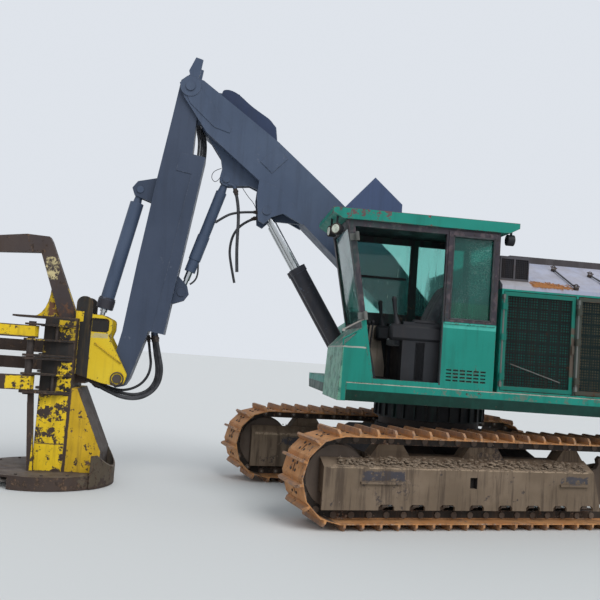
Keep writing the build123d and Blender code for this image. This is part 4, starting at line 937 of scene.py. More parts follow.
@dataclass
class Studio:
    """The pale floor, the pale sky and one soft sun."""

    floor_half: float = 150.0
    floor_colour: Colour = (0.6, 0.61, 0.6)
    floor_roughness: float = 0.9
    sky_colour: Colour = (0.8, 0.84, 0.9)
    sky_light: float = 0.85
    backdrop_light: float = 0.92
    sun_light: float = 1.6
    sun_width: float = 35.0
    sun_tilt: Flat = (-38.0, -22.0)

    def make_floor(self) -> bpy.types.Object:
        """Lay the floor under the tracks.

        Returns:
            The floor.
        """
        mesh = bpy.data.meshes.new("studio_floor")
        bm = bmesh.new()
        bmesh.ops.create_grid(bm, x_segments=1, y_segments=1, size=self.floor_half)
        bm.to_mesh(mesh)
        bm.free()
        floor = place_object("studio_floor", mesh)
        material = bpy.data.materials.new("pale_floor")
        material.use_nodes = True
        shader = material.node_tree.nodes["Principled BSDF"]
        shader.inputs["Base Color"].default_value = (*self.floor_colour, 1.0)
        shader.inputs["Roughness"].default_value = self.floor_roughness
        mesh.materials.append(material)
        return floor

    def make_sky(self) -> None:
        """Light the scene evenly from a pale sky that looks brighter than it shines."""
        world = bpy.data.worlds.new("overcast_sky")
        bpy.context.scene.world = world
        world.use_nodes = True
        w = Wiring(world.node_tree)
        back = world.node_tree.nodes["Background"]
        back.inputs["Color"].default_value = (*self.sky_colour, 1.0)
        path = w.add("LightPath")
        seen = w.math("MAXIMUM", path.outputs["Is Camera Ray"], path.outputs["Is Glossy Ray"])
        both = w.math("MAXIMUM", seen, path.outputs["Is Transmission Ray"])
        level = w.add("MapRange", {"Value": both, "To Min": self.sky_light, "To Max": self.backdrop_light})
        w.feed(back.inputs["Strength"], level.outputs["Result"])

    def make_sun(self) -> None:
        """Hang one broad sun, as through thin cloud."""
        data = bpy.data.lights.new("soft_sun", "SUN")
        data.energy = self.sun_light
        data.angle = math.radians(self.sun_width)
        lamp = place_object("soft_sun", data)
        lamp.rotation_euler = (*(math.radians(a) for a in self.sun_tilt), 0.0)

    def build(self) -> None:
        """Build the whole studio."""
        self.make_floor()
        self.make_sky()
        self.make_sun()
        bpy.context.scene.view_settings.view_transform = "Standard"


@dataclass
class Hose:
    """One hose or wire on a smooth line, in metres."""

    name: str
    body: Body
    route: Sequence[Point]
    radius: float
    node: str = ""
    to_body: Body | None = None
    blend: tuple[Point, Point] | None = None

    def line(self) -> tuple[bpy.types.Object, list[Point]]:
        """Draw the hose's smooth line.

        Returns:
            The curve, and the points that it passes.
        """
        data = bpy.data.curves.new(self.name, "CURVE")
        data.dimensions = "3D"
        data.resolution_u = 10
        spline = data.splines.new("NURBS")
        spline.points.add(len(self.route) - 1)
        for point, place in zip(spline.points, self.route):
            point.co = (*place, 1.0)
        spline.order_u = 3
        spline.use_endpoint_u = True
        curve = place_object(self.name, data)
        bpy.context.view_layer.update()
        plain = bpy.data.meshes.new_from_object(curve)
        path = [tuple(vert.co) for vert in plain.vertices]
        bpy.data.meshes.remove(plain)
        return curve, path

    def build(self, finishes: Finishes) -> bpy.types.Object:
        """Make the hose.

        Args:
            finishes: Where its rubber comes from.

        Returns:
            The hose.
        """
        curve, path = self.line()
        curve.data.bevel_depth = self.radius
        curve.data.bevel_resolution = 3
        curve.data.use_fill_caps = True
        tube = bpy.data.meshes.new_from_object(curve)
        bpy.data.objects.remove(curve)
        piece = place_object(self.name, tube)
        tube.polygons.foreach_set("use_smooth", [True] * len(tube.polygons))
        tube.materials.clear()
        tube.materials.append(finishes.get("hose_rubber"))
        if self.blend and self.to_body:
            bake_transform(piece)
        else:
            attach(piece, self.body.value)
        if self.node:
            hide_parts(self.node)
        return piece


def flat_route(y: float, points: Iterable[Flat]) -> list[Point]:
    """Return a route in one upright plane from its points in X and Z."""
    return [(x, y, z) for x, z in points]


def rounded(points: Sequence[Flat], rounds: int = 2) -> list[Flat]:
    """Return an open line with its inner corners cut, over and over.

    Args:
        points: The line's corners.
        rounds: How many times each corner is cut.

    Returns:
        The smoother line, between the same two ends.
    """
    for _ in range(rounds):
        cut = [points[0]]
        for (ax, az), (bx, bz) in zip(points, points[1:]):
            for near in (0.75, 0.25):
                cut.append((near * ax + (1 - near) * bx, near * az + (1 - near) * bz))
        points = cut + [points[-1]]
    return list(points)


@dataclass
class Assembly:
    """A sub-assembly: the CAD nodes that it dresses, and the steps that add its pieces, in order."""

    finishes: Finishes
    body: ClassVar[Body]
    nodes: ClassVar[dict[str, str]] = {}
    steps: ClassVar[Steps] = ()

    def add(self, shape: Shape, name: str, finish: str, slot: str, smooth: bool = False,
            body: Body | None = None) -> bpy.types.Object:
        """Finish a shape as a piece of this sub-assembly.

        Args:
            shape: The piece's shape.
            name: The piece's name.
            finish: The name of its finish.
            slot: The record's material slot that it belongs to.
            smooth: Whether gentle angles are shaded smooth.
            body: What it rides on, where that isn't the sub-assembly's own body.

        Returns:
            The piece.
        """
        return shape.finish(name, body or self.body, self.finishes.get(finish), slot, smooth)

    def build(self) -> None:
        """Dress the CAD nodes, then add the pieces."""
        for node, finish in self.nodes.items():
            self.finishes.dress(node, finish)
        for step in self.steps:
            step(self)


@dataclass
class Hoses(Assembly):
    """All the hoses and wires, each one's points given in X and Z."""

    body: ClassVar[Body] = Body.BOOM
    thick: float = 0.02
    thin: float = 0.016
    slim: float = 0.015
    barrel_radius: float = 0.011
    wire_radius: float = 0.004
    front: Sequence[Flat] = ((2.545, 3.53), (2.508, 3.414), (2.482, 3.2), (2.48, 2.983), (2.472, 2.768),
                             (2.452, 2.56))
    rear: Sequence[Flat] = ((2.28, 3.247), (2.42, 3.18), (2.53, 3.035), (2.562, 2.85), (2.538, 2.69),
                            (2.47, 2.44))
    left: Sequence[Flat] = ((3.326, 1.718), (3.282, 1.545), (3.222, 1.33), (3.262, 1.13), (3.43, 0.995),
                            (3.64, 0.985), (3.83, 1.06), (3.985, 1.14))
    right: Sequence[Flat] = ((3.37, 1.716), (3.336, 1.53), (3.296, 1.37), (3.296, 1.22), (3.366, 1.09),
                             (3.5, 1.025), (3.66, 1.03), (3.83, 1.08), (3.985, 1.14))
    outer: Sequence[Flat] = ((3.345, 1.716), (3.3, 1.5), (3.252, 1.3), (3.282, 1.125), (3.42, 1.012),
                             (3.6, 0.985), (3.8, 1.035), (3.985, 1.128))
    inner: Sequence[Flat] = ((3.43, 1.716), (3.4, 1.53), (3.372, 1.4), (3.39, 1.27), (3.46, 1.16),
                             (3.57, 1.09), (3.7, 1.062), (3.84, 1.09), (3.985, 1.15))
    cross: Sequence[Flat] = ((2.271, 3.299), (2.409, 3.289), (2.53, 3.267), (2.634, 3.226), (2.755, 3.129))
    barrel: Sequence[Flat] = ((2.92, 2.638), (2.905, 2.517), (2.94, 2.407), (2.996, 2.372))
    curl: Sequence[Flat] = ((2.732, 3.781), (2.813, 3.752), (2.849, 3.671), (2.809, 3.605), (2.758, 3.633),
                            (2.738, 3.674))
    bundle: Sequence[Flat] = ((3.028, 4.262), (3.006, 4.205), (2.984, 4.13), (2.974, 4.05), (2.972, 3.96),
                              (2.976, 3.868))
    wire: Sequence[Flat] = ((2.48, 3.609), (2.41, 3.503), (2.295, 3.395), (2.27, 3.312))
    bundle_rows: Sequence[Flat] = ((0.06, 0.048), (0.02, 0.018), (-0.02, -0.01), (-0.06, -0.032))
    bundle_spread: Flat = (0.4, 0.3)
    box_slope: float = 0.158
    bundle_ends: tuple[Point, Point] = ((3.02, 0.0, 4.25), (2.975, 0.0, 3.9))
    wrist_ends: tuple[Point, Point] = ((3.33, 0.0, 1.7), (3.9, 0.0, 1.1))
    cross_ends: tuple[Point, Point] = ((2.3, 0.0, 3.3), (2.72, 0.0, 3.16))

    def build_lines(self) -> None:
        """Hang the hoses at the boom's lugs, the wrist and the stick's cylinder, and the curled wire."""
        boom, stick, barrel = Body.BOOM, Body.STICK, Body.STICK_BARREL
        wrist = {"to_body": Body.HEAD, "blend": self.wrist_ends}
        cross = {"to_body": barrel, "blend": self.cross_ends}
        for name, body, y, points, radius, more in (
                ("boom_hose_front_line", boom, 0.06, self.front, self.thick, {"node": "boom_hose_front"}),
                ("boom_hose_rear_line", boom, -0.075, self.rear, self.thin, {"node": "boom_hose_rear"}),
                ("wrist_hose_left_line", stick, 0.09, self.left, self.thick,
                 {"node": "wrist_hose_left", **wrist}),
                ("wrist_hose_right_line", stick, -0.04, self.right, self.thick,
                 {"node": "wrist_hose_right", **wrist}),
                ("wrist_hose_outer", stick, 0.042, self.outer, self.thick, wrist),
                ("wrist_hose_inner", stick, -0.09, self.inner, self.thin, wrist),
                ("cross_hose", boom, 0.05, self.cross, self.slim, cross),
                ("stick_barrel_hose", barrel, 0.0, self.barrel, self.barrel_radius, {}),
                ("curled_wire", boom, 0.084, self.curl, self.wire_radius, {})):
            Hose(name, body, flat_route(y, points), radius, **more).build(self.finishes)

    def build_bundle(self) -> None:
        """Lead the four hoses at the elbow from the boom into the stick's channel."""
        (ax, az), (bx, bz) = self.bundle[0], self.bundle[-1]
        for i, (y, shift) in enumerate(self.bundle_rows):
            start = (ax + shift * self.bundle_spread[0], y, az + shift * self.bundle_spread[1])
            end = (bx + shift, y, bz + self.box_slope * shift)
            route = [start, *((x + shift, y, z) for x, z in self.bundle[1:-1]), end]
            Hose(f"elbow_hose_{i + 1}", Body.BOOM, route, self.slim, to_body=Body.STICK,
                 blend=self.bundle_ends).build(self.finishes)

    def build_lug_wire(self) -> None:
        """Lead the loose wire to the lug."""
        Hose("lug_wire", Body.BOOM, flat_route(0.02, self.wire), self.wire_radius).build(self.finishes)

    steps: ClassVar[Steps] = (build_lines, build_bundle, build_lug_wire)


@dataclass
class Undercarriage(Assembly):
    """The tracks, their frames and the car body."""

    body: ClassVar[Body] = Body.UNDERCARRIAGE
    nodes: ClassVar[dict[str, str]] = {
        "track_loop_left": "track_shoes", "track_loop_right": "track_shoes", "track_frame_left": "frame_mud",
        "track_frame_right": "frame_mud", "track_rollers": "wheel_steel", "front_idlers": "wheel_steel",
        "drive_sprockets": "wheel_steel", "car_body": "car_body_paint", "swing_bearing": "pin_steel"}
    turn: float = 12.4
    gauge: float = 2.54
    pitch: float = 0.19
    run_links: int = 18
    turn_links: int = 6
    wheel_height: float = 0.484
    plate_top: float = 0.052
    rail_outer: float = 0.088
    boss_inner: float = 0.05
    boss_proud: float = 0.012
    boss_radius: float = 0.034
    pin_proud: float = 0.004
    pin_radius: float = 0.015
    bolt_rows: tuple[float, ...] = (0.082, 0.155)
    bolt_across: float = 0.062
    bolt_sunk: float = 0.002
    bolt_size: Flat = (0.015, 0.01)
    clods: int = 900
    clod_run: Flat = (-1.12, 1.74)
    clod_sizes: Flat = (0.005, 0.019)
    shoulder: Flat = (0.226, 0.601)
    shoulder_rise: Flat = (0.077, 0.1)

    def pins(self) -> list[Flat]:
        """Return the loop's pin centres from the wheels' height."""
        ring = self.pitch / 2 / math.sin(math.pi / (2 * self.turn_links))
        reach = self.run_links * self.pitch / 2
        step = math.pi / self.turn_links
        top = [(-reach + i * self.pitch, ring) for i in range(self.run_links)]
        low = [(reach - i * self.pitch, -ring) for i in range(self.run_links)]
        front, rear = ([(side * reach + ring * math.cos(side * math.pi / 2 - i * step),
                         ring * math.sin(side * math.pi / 2 - i * step)) for i in range(self.turn_links)]
                       for side in (1, -1))
        return top + front + low + rear

    def place(self, x: float, y: float, z: float) -> Vector:
        """Return a point of the straight undercarriage, turned with the tracks."""
        return Matrix.Rotation(math.radians(self.turn), 3, "Z") @ Vector((x, y, z))

    def build_links(self) -> None:
        """Put the link pins' bosses and ends and the shoes' bolts round both loops."""
        pins = self.pins()
        outer = self.rail_outer + self.boss_proud
        rise = self.plate_top - self.bolt_sunk
        for side, label in SIDES:
            bosses, bolts, ends = Shape(), Shape(), Shape()
            middle = side * self.gauge / 2
            face = middle - side * outer
            for (x, z), (next_x, next_z) in zip(pins, pins[1:] + pins[:1]):
                height = z + self.wheel_height
                ends.rod(self.place(x, face, height), self.place(x, face - side * self.pin_proud, height),
                         self.pin_radius, 8)
                for y in (-1, 1):
                    bosses.rod(self.place(x, middle + y * self.boss_inner, height),
                               self.place(x, middle + y * outer, height), self.boss_radius, 10)
                way = math.atan2(next_z - z, next_x - x)
                out = self.place(-math.sin(way), 0.0, math.cos(way))
                for along in self.bolt_rows:
                    bolt_x = x + along * math.cos(way) - rise * math.sin(way)
                    bolt_z = z + along * math.sin(way) + rise * math.cos(way) + self.wheel_height
                    for y in (middle - self.bolt_across, middle + self.bolt_across):
                        bolts.bolt(self.place(bolt_x, y, bolt_z), out, *self.bolt_size)
            self.add(bosses, f"link_bosses_{label}", "wheel_steel", "track_steel", True)
            self.add(bolts, f"shoe_bolts_{label}", "pin_steel", "track_steel")
            self.add(ends, f"link_pin_ends_{label}", "bright_steel", "pin_steel")

    def build_clods(self) -> None:
        """Scatter dry earth along the frames' shoulders."""
        chance = random.Random(7)
        least, more = self.clod_sizes
        for side, label in SIDES:
            clods = Shape()
            for _ in range(self.clods):
                x = chance.uniform(*self.clod_run)
                slope = chance.betavariate(1.2, 1.6)
                y = side * (self.gauge / 2 + self.shoulder[0] - self.shoulder_rise[0] * slope)
                size = least + more * chance.random() ** 2.5
                place = self.place(x, y, self.shoulder[1] + self.shoulder_rise[1] * slope)
                clods.lump(place, (size * 1.3, size, size * chance.uniform(0.3, 0.7)))
            self.add(clods, f"dry_earth_{label}", "dry_clods", "frame_mud", True)

    steps: ClassVar[Steps] = (build_links, build_clods)


@dataclass
class WireScreen:
    """A woven wire screen in an upright frame."""

    low: Point
    high: Point
    pitch: float = 0.0285
    wire: float = 0.0052
    half_thick: float = 0.002

    def weave(self) -> Shape:
        """Return the screen's wires, the upright ones first."""
        screen = Shape()
        y = (self.low[1] + self.high[1]) / 2
        for axis in (0, 2):
            count = round((self.high[axis] - self.low[axis]) / self.pitch)
            step = (self.high[axis] - self.low[axis]) / count
            for i in range(count + 1):
                low, high = list(self.low), list(self.high)
                low[axis] = self.low[axis] + i * step - self.wire
                high[axis] = self.low[axis] + i * step + self.wire
                low[1], high[1] = y - self.half_thick, y + self.half_thick
                screen.block(low, high)
        return screen


@dataclass
class EngineHouse(Assembly):
    """The engine's house with its doors, hood and screens."""

    body: ClassVar[Body] = Body.UPPER
    nodes: ClassVar[dict[str, str]] = {
        "engine_house": "post_paint", "engine_hood": "hood_paint", "screen_box": "screen_box_paint",
        "engine_block": "engine_iron", "engine_door_front": "front_door_paint",
        # The door grilles take the near-black painted shade of the screen's gaps.
        "engine_door_rear": "rear_door_paint", "front_door_grille": "screen_painted_shade",
        "rear_door_grille": "screen_painted_shade", "door_hinge_rods": "hinge_steel", "deck": "deck_paint",
        "counterweight": "house_paint", "side_tank": "house_paint"}
    hood_low: Flat = (1.46, 2.52)
    hood_high: Flat = (0.8, 2.865)
    hood_out: Flat = (0.46, 0.88)
    screen_gap: float = 0.004
    inner_wire: float = 0.0095
    box_face: float = 1.356
    box_height: Flat = (2.605, 2.812)
    box_panes: Sequence[Flat] = ((-0.6, -0.46), (-0.44, -0.305))
    box_pitch: float = 0.02
    box_wire: float = 0.002
    straps: Sequence[tuple[Flat, Flat]] = (((-1.055, 2.777), (-1.105, 2.535)),
                                           ((-1.446, 2.735), (-1.508, 2.635)))
    strap_out: float = 0.02
    strap_radius: float = 0.009
    hook_low: Point = (0.026, 0.02, 0.022)
    hook_high: Point = (0.026, 0.02, 0.012)
    needles: int = 420
    needle_half: float = 0.02
    needle_radius: float = 0.0028
    stay: tuple[Point, Point] = ((-0.42, 1.449, 1.7), (-0.97, 1.449, 1.54))
    cap_bolts: Sequence[float] = (-1.85, -1.66, -1.47, -1.28, -1.09, -0.9, -0.71)
    cap_edge: Flat = (0.74, 2.935)
    weight_face: float = -2.398
    weight_across: Sequence[float] = (-1.2, -0.6, 0.0, 0.6, 1.2)
    weight_rows: Sequence[float] = (1.36, 2.16)
    tank_bolts: Sequence[float] = (0.36, 0.6, 0.8, 0.99)
    tank_edge: Flat = (-0.53, 2.149)
    filler: Flat = (0.675, -0.98)
    filler_rings: Sequence[tuple[float, float, float, int]] = ((2.148, 2.185, 0.07, 24),
                                                               (2.185, 2.2, 0.058, 6))

    def on_hood(self, x: float, z: float, out: float) -> Vector:
        """Return a point over the hood's left slope.

        Args:
            x: Its place along the hood.
            z: The slope's height there.
            out: How far it stands off the slope.

        Returns:
            The point.
        """
        share = (z - self.hood_low[1]) / (self.hood_high[1] - self.hood_low[1])
        y = self.hood_low[0] + share * (self.hood_high[0] - self.hood_low[0])
        return Vector((x, y + out * self.hood_out[0], z + out * self.hood_out[1]))

    def build_screens(self) -> None:
        """Weave the screens of the doors and of the box on the hood; on each door a near-black grid of
        painted shade lies in front of a brightened teal or tan grid.
        """
        for node, body, finish in (("front_door_grille", Body.FRONT_DOOR, "front_screen_painted_light"),
                                   ("rear_door_grille", Body.REAR_DOOR, "rear_screen_painted_light")):
            low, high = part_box(node)
            y = high[1] + self.screen_gap
            front = WireScreen((low[0], y, low[2]), (high[0], y, high[2]))
            # Front grid: near-black painted shade in place of the gaps between the screen's wires.
            self.add(front.weave(), node + "_mesh", "screen_painted_shade", "grille_wire", body=body)
            # Inner grid: the screen's teal or tan, painted brighter to light it in its shade.
            half = WireScreen.pitch / 2
            y = low[1] - self.screen_gap
            inner = WireScreen((low[0] + half, y, low[2] + half), (high[0] - half, y, high[2] - half),
                               wire=self.inner_wire)
            self.add(inner.weave(), node + "_inner_mesh", finish, "grille_wire", body=body)
        foot, head = self.box_height
        for i, (rear, front) in enumerate(self.box_panes):
            for side, label in SIDES:
                y = side * self.box_face
                screen = WireScreen((rear, y, foot), (front, y, head), self.box_pitch, self.box_wire)
                self.add(screen.weave(), f"box_screen_{label}_{i + 1}", "box_screen_wire", "hood_paint")

    def build_straps(self) -> None:
        """Stretch the rubber hood straps over the edge, with their hooks."""
        straps, hooks = Shape(), Shape()
        for top, low in self.straps:
            start, end = self.on_hood(*top, self.strap_out), self.on_hood(*low, self.strap_out)
            straps.rod(start, end, self.strap_radius, 8)
            for place in (start, end):
                hooks.block(place - Vector(self.hook_low), place + Vector(self.hook_high), 0.008)
                hooks.rod(place + Vector((-0.04, 0.0, 0.015)), place + Vector((0.035, 0.0, 0.03)), 0.006, 8)
                hooks.ring(place + Vector((0.0, 0.0, 0.02)), (0.3, 1.0, 0.2), 0.02, 0.005, 16)
        self.add(straps, "hood_straps", "hose_rubber", "black_rubber", True)
        self.add(hooks, "hood_strap_hooks", "pin_steel", "pin_steel")

    def build_litter(self) -> None:
        """Drop dry needles on the hood's front corner."""
        chance = random.Random(3)
        litter = Shape()
        for _ in range(self.needles):
            x = chance.triangular(-1.14, -0.6, -0.74)
            z = chance.triangular(2.522, 2.6, 2.53)
            place = self.on_hood(x, z, 0.003)
            way = Vector((chance.uniform(-1, 1), chance.uniform(-0.6, 0.6), 0.0))
            way = way.normalized() * self.needle_half
            way.z = -way.y * 0.5
            litter.rod(place - way, place + way, self.needle_radius, 4)
        self.add(litter, "dry_needles", "dry_needles", "rust")

    def build_stay(self) -> None:
        """Add the stay bar in front of the front door's screen."""
        stay = Shape()
        stay.rod(*self.stay, 0.006, 8)
        self.add(stay, "door_stay_bar", "hinge_steel", "pin_steel", True, Body.FRONT_DOOR)

    def build_bolts(self) -> None:
        """Bolt the hood's cap, the counterweight and the tank, and close the tank's filler."""
        bolts = Shape()
        for x in self.cap_bolts:
            for side in (-1, 1):
                bolts.bolt((x, side * self.cap_edge[0], self.cap_edge[1]), UP, 0.012, 0.008)
        for y in self.weight_across:
            for z in self.weight_rows:
                bolts.bolt((self.weight_face, y, z), (-1.0, 0.0, 0.0), 0.024, 0.002)
        for x in self.tank_bolts:
            bolts.bolt((x, *self.tank_edge), UP, 0.012, 0.01)
        for low, high, radius, sides in self.filler_rings:
            bolts.rod((*self.filler, low), (*self.filler, high), radius, sides)
        self.add(bolts, "house_bolts", "pin_steel", "pin_steel")

    steps: ClassVar[Steps] = (build_screens, build_straps, build_litter, build_stay, build_bolts)


@dataclass
class Cab(Assembly):
    """The operator's cab, its glass and what is inside."""

    body: ClassVar[Body] = Body.UPPER
    nodes: ClassVar[dict[str, str]] = {
        "cab_shell": "cab_paint", "cab_glass": "cab_glass_tint", "cab_roof": "cab_roof_paint",
        "work_lamps": "cab_plastic", "nose_box": "nose_paint", "door_hinges": "hinge_steel",
        "seat_base": "cab_plastic"}
    left: float = 1.5
    middle: float = 0.99
    floor: float = 1.44
    pads: Sequence[tuple[str, Sequence[Flat], float]] = (
        ("seat_cushion", ((0.19, 1.803), (0.76, 1.803), (0.764, 1.892), (0.19, 1.905)), 0.024),
        ("seat_backrest", ((0.15, 1.925), (0.072, 2.478), (0.215, 2.495), (0.452, 1.945)), 0.03))
    pad_width: float = 0.5
    pad_cuts: int = 17
    pad_fill: float = 0.7
    pad_waist: float = 0.006
    piping: float = 0.004
    piping_at: Flat = (0.56, 0.06)
    channels: tuple[float, ...] = (-0.42, 0.42)
    channel_deep: float = 0.011
    channel_wide: float = 0.06
    lamps: Sequence[tuple[Point, float]] = (((1.5, 1.465, 2.947), 48.0), ((1.52, 1.21, 2.957), 8.0),
                                            ((-0.36, 1.44, 2.995), 180.0))
    lamp_front: float = 0.025
    lens_depth: Flat = (0.004, 0.007)
    lens_radii: Flat = (0.05, 0.04)
    rim: Flat = (0.053, 0.006)
    quarter: tuple[Flat, Flat] = ((-0.17, 2.11), (0.28, 2.985))
    seal_wide: float = 0.016
    seal_depth: Flat = (-0.012, 0.0135)
    seal_bolt: Flat = (0.008, 0.007)
    seal_bolts: tuple[int, int] = (7, 3)
    seal_steps: Flat = (0.14, 0.165)
    bolt_out: float = 0.022
    side_console: float = 0.34
    console_blocks: Sequence[tuple[float, ...]] = (
        (0.3, 0.86, 0.075, 1.86, 2.03, 0.03), (0.36, 0.62, 0.05, 2.03, 2.09, 0.02),
        (0.46, 0.6, 0.05, 1.44, 1.87, 0.02))
    pedals: tuple[float, ...] = (0.88, 1.08)
    panel: tuple[Point, Point] = ((1.02, 0.62, 1.95), (1.12, 0.84, 2.14))
    window_bar: tuple[Point, Point] = ((0.52, 0.528, 2.575), (1.1, 0.545, 2.6))
    board: Sequence[Flat] = ((0.69, 1.455), (1.0, 1.455), (1.0, 2.03), (0.8, 2.03))
    board_face: float = 0.56
    board_thick: float = 0.01
    mat_ribs: int = 11
    mat_top: float = 0.008

    def build_lenses(self) -> None:
        """Put the lens and its bright rim on each work lamp."""
        lenses, rims = Shape(), Shape()
        for place, facing in self.lamps:
            way = Vector((math.cos(math.radians(facing)), math.sin(math.radians(facing)), 0.0))
            front = Vector(place) + way * self.lamp_front
            back, face = self.lens_depth
            lenses.rod(front - way * back, front + way * face, self.lens_radii[0], 24, self.lens_radii[1])
            rims.ring(front, way, *self.rim)
        self.add(lenses, "lamp_lenses", "lamp_lens", "lamp", True)
        self.add(rims, "lamp_rims", "pin_steel", "lamp", True)

    def build_seals(self) -> None:
        """Run the rubber seal round the side window and bolt its frame."""
        seals, bolts = Shape(), Shape()
        (rear, low), (front, high) = self.quarter
        inner, outer = (self.left + depth for depth in self.seal_depth)
        wide = self.seal_wide
        for a, b in (((rear, low), (front, low + wide)), ((rear, high - wide), (front, high)),
                     ((rear, low), (rear + wide, high)), ((front - wide, low), (front, high))):
            seals.block((a[0], inner, a[1]), (b[0], outer, b[1]), 0.004)
        self.add(seals, "window_seals", "hose_rubber", "black_rubber")
        face = self.left + 0.01
        for i in range(self.seal_bolts[0]):
            for x in (rear - self.bolt_out, front + self.bolt_out):
                bolts.bolt((x, face, low + 0.02 + i * self.seal_steps[0]), LEFT, *self.seal_bolt)
        for i in range(self.seal_bolts[1]):
            for z in (low - self.bolt_out, high + self.bolt_out):
                bolts.bolt((rear + 0.06 + i * self.seal_steps[1], face, z), LEFT, *self.seal_bolt)
        self.add(bolts, "window_bolts", "pin_steel", "pin_steel")

    def pad_point(self, point: Vector, corners: Sequence[Flat], crown: float) -> Vector:
        """Return where a point of a cube of side 2 lies on a crowned, rounded pad.

        Args:
            point: The cube's point: along the pad, across it, and up through it.
            corners: The pad's side view: low rear, low front, top front, top rear.
            crown: How far the middle of its top swells.

        Returns:
            The place on the pad.
        """
        most = max(abs(c) for c in point)
        length = sum(abs(c) ** 7 for c in point) ** (1 / 7)
        along, across, up = point * (most / length if length else 1.0)
        swell = crown * (1 - along ** 2) * (1 - across ** 4) * max(up, 0.0)
        groove = sum(math.exp(-((across - place) / self.channel_wide) ** 2) for place in self.channels)
        swell -= self.channel_deep * groove * max(up, 0.0) * (1 - along ** 6)
        piping = self.piping if abs(up - self.piping_at[0]) < self.piping_at[1] else 0.0
        s, t = (along + 1) / 2, (up + 1) / 2
        low_rear, low_front, top_front, top_rear = (Vector((x, 0.0, z)) for x, z in corners)
        low = low_rear.lerp(low_front, s)
        top = top_rear.lerp(top_front, s)
        place = low.lerp(top, t) + (top - low).normalized() * swell
        place += (low_front - low_rear).normalized() * piping * along
        place.y = self.middle + across * (self.pad_width / 2 - self.pad_waist * (1 - along ** 2) + piping)
        return place

    def build_pads(self) -> None:
        """Make the seat's cushion and backrest, with channels and piping, in place of the plain solid."""
        for name, corners, crown in self.pads:
            pad = Shape()
            bmesh.ops.create_cube(pad.mesh, size=2.0)
            bmesh.ops.subdivide_edges(pad.mesh, edges=pad.mesh.edges[:], cuts=self.pad_cuts,
                                      use_grid_fill=True)
            for vert in pad.mesh.verts:
                vert.co = self.pad_point(vert.co.copy(), corners, crown)
            piece = self.add(pad, name, "seat_cloth", "seat_cloth", True)
            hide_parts("operator_seat")

    def build_controls(self) -> None:
        """Add the consoles with their joysticks, the pedals with their levers and the far window's bar."""
        consoles, sticks = Shape(), Shape()
        for y in (self.middle - self.side_console, self.middle + self.side_console):
            for rear, front, half, low, high, bevel in self.console_blocks:
                consoles.block((rear, y - half, low), (front, y + half, high), bevel)
            sticks.rod((0.78, y, 2.03), (0.8, y, 2.13), 0.045, 14, 0.016)
            sticks.rod((0.8, y, 2.12), (0.82, y, 2.27), 0.017, 12, 0.024)
            sticks.lump((0.822, y, 2.285), (0.028, 0.025, 0.034), 2)
        for y in self.pedals:
            sticks.rod((1.02, y, self.floor), (0.98, y, 2.02), 0.01, 8)
            sticks.lump((0.98, y, 2.04), (0.022, 0.022, 0.026), 2)
            sticks.block((0.93, y - 0.05, 1.47), (1.02, y + 0.05, 1.5), 0.006, Matrix.Rotation(-0.5, 4, "Y"))
        consoles.block(*self.panel, 0.02)
        consoles.block(*self.window_bar)
        self.add(consoles, "cab_consoles", "cab_plastic", "interior", True)
        self.add(sticks, "cab_levers", "cab_plastic", "interior", True)

    def build_boards(self) -> None:
        """Add the pale kick board, the ribbed floor mat and the bar on the nose."""
        board, mat, bar = Shape(), Shape(), Shape()
        board.plate([(x, self.board_face, z) for x, z in self.board], (0.0, self.board_thick, 0.0))
        self.add(board, "kick_board", "trim_board", "interior")
        top = self.floor + self.mat_top
        mat.block((0.74, 0.6, self.floor - 0.001), (1.08, 1.38, top), 0.003)
        for i in range(self.mat_ribs):
            x = 0.77 + i * 0.028
            mat.rod((x, 0.63, top), (x, 1.35, top), 0.004, 6)
        self.add(mat, "floor_mat", "hose_rubber", "interior", True)
        bar.rod((1.36, 1.485, 1.925), (1.155, 1.5, 2.05), 0.009, 12)
        bar.block((1.345, 1.47, 1.905), (1.375, 1.499, 1.935), 0.004)
        self.add(bar, "nose_bar", "bright_steel", "pin_steel")

    steps: ClassVar[Steps] = (build_lenses, build_seals, build_pads, build_controls, build_boards)


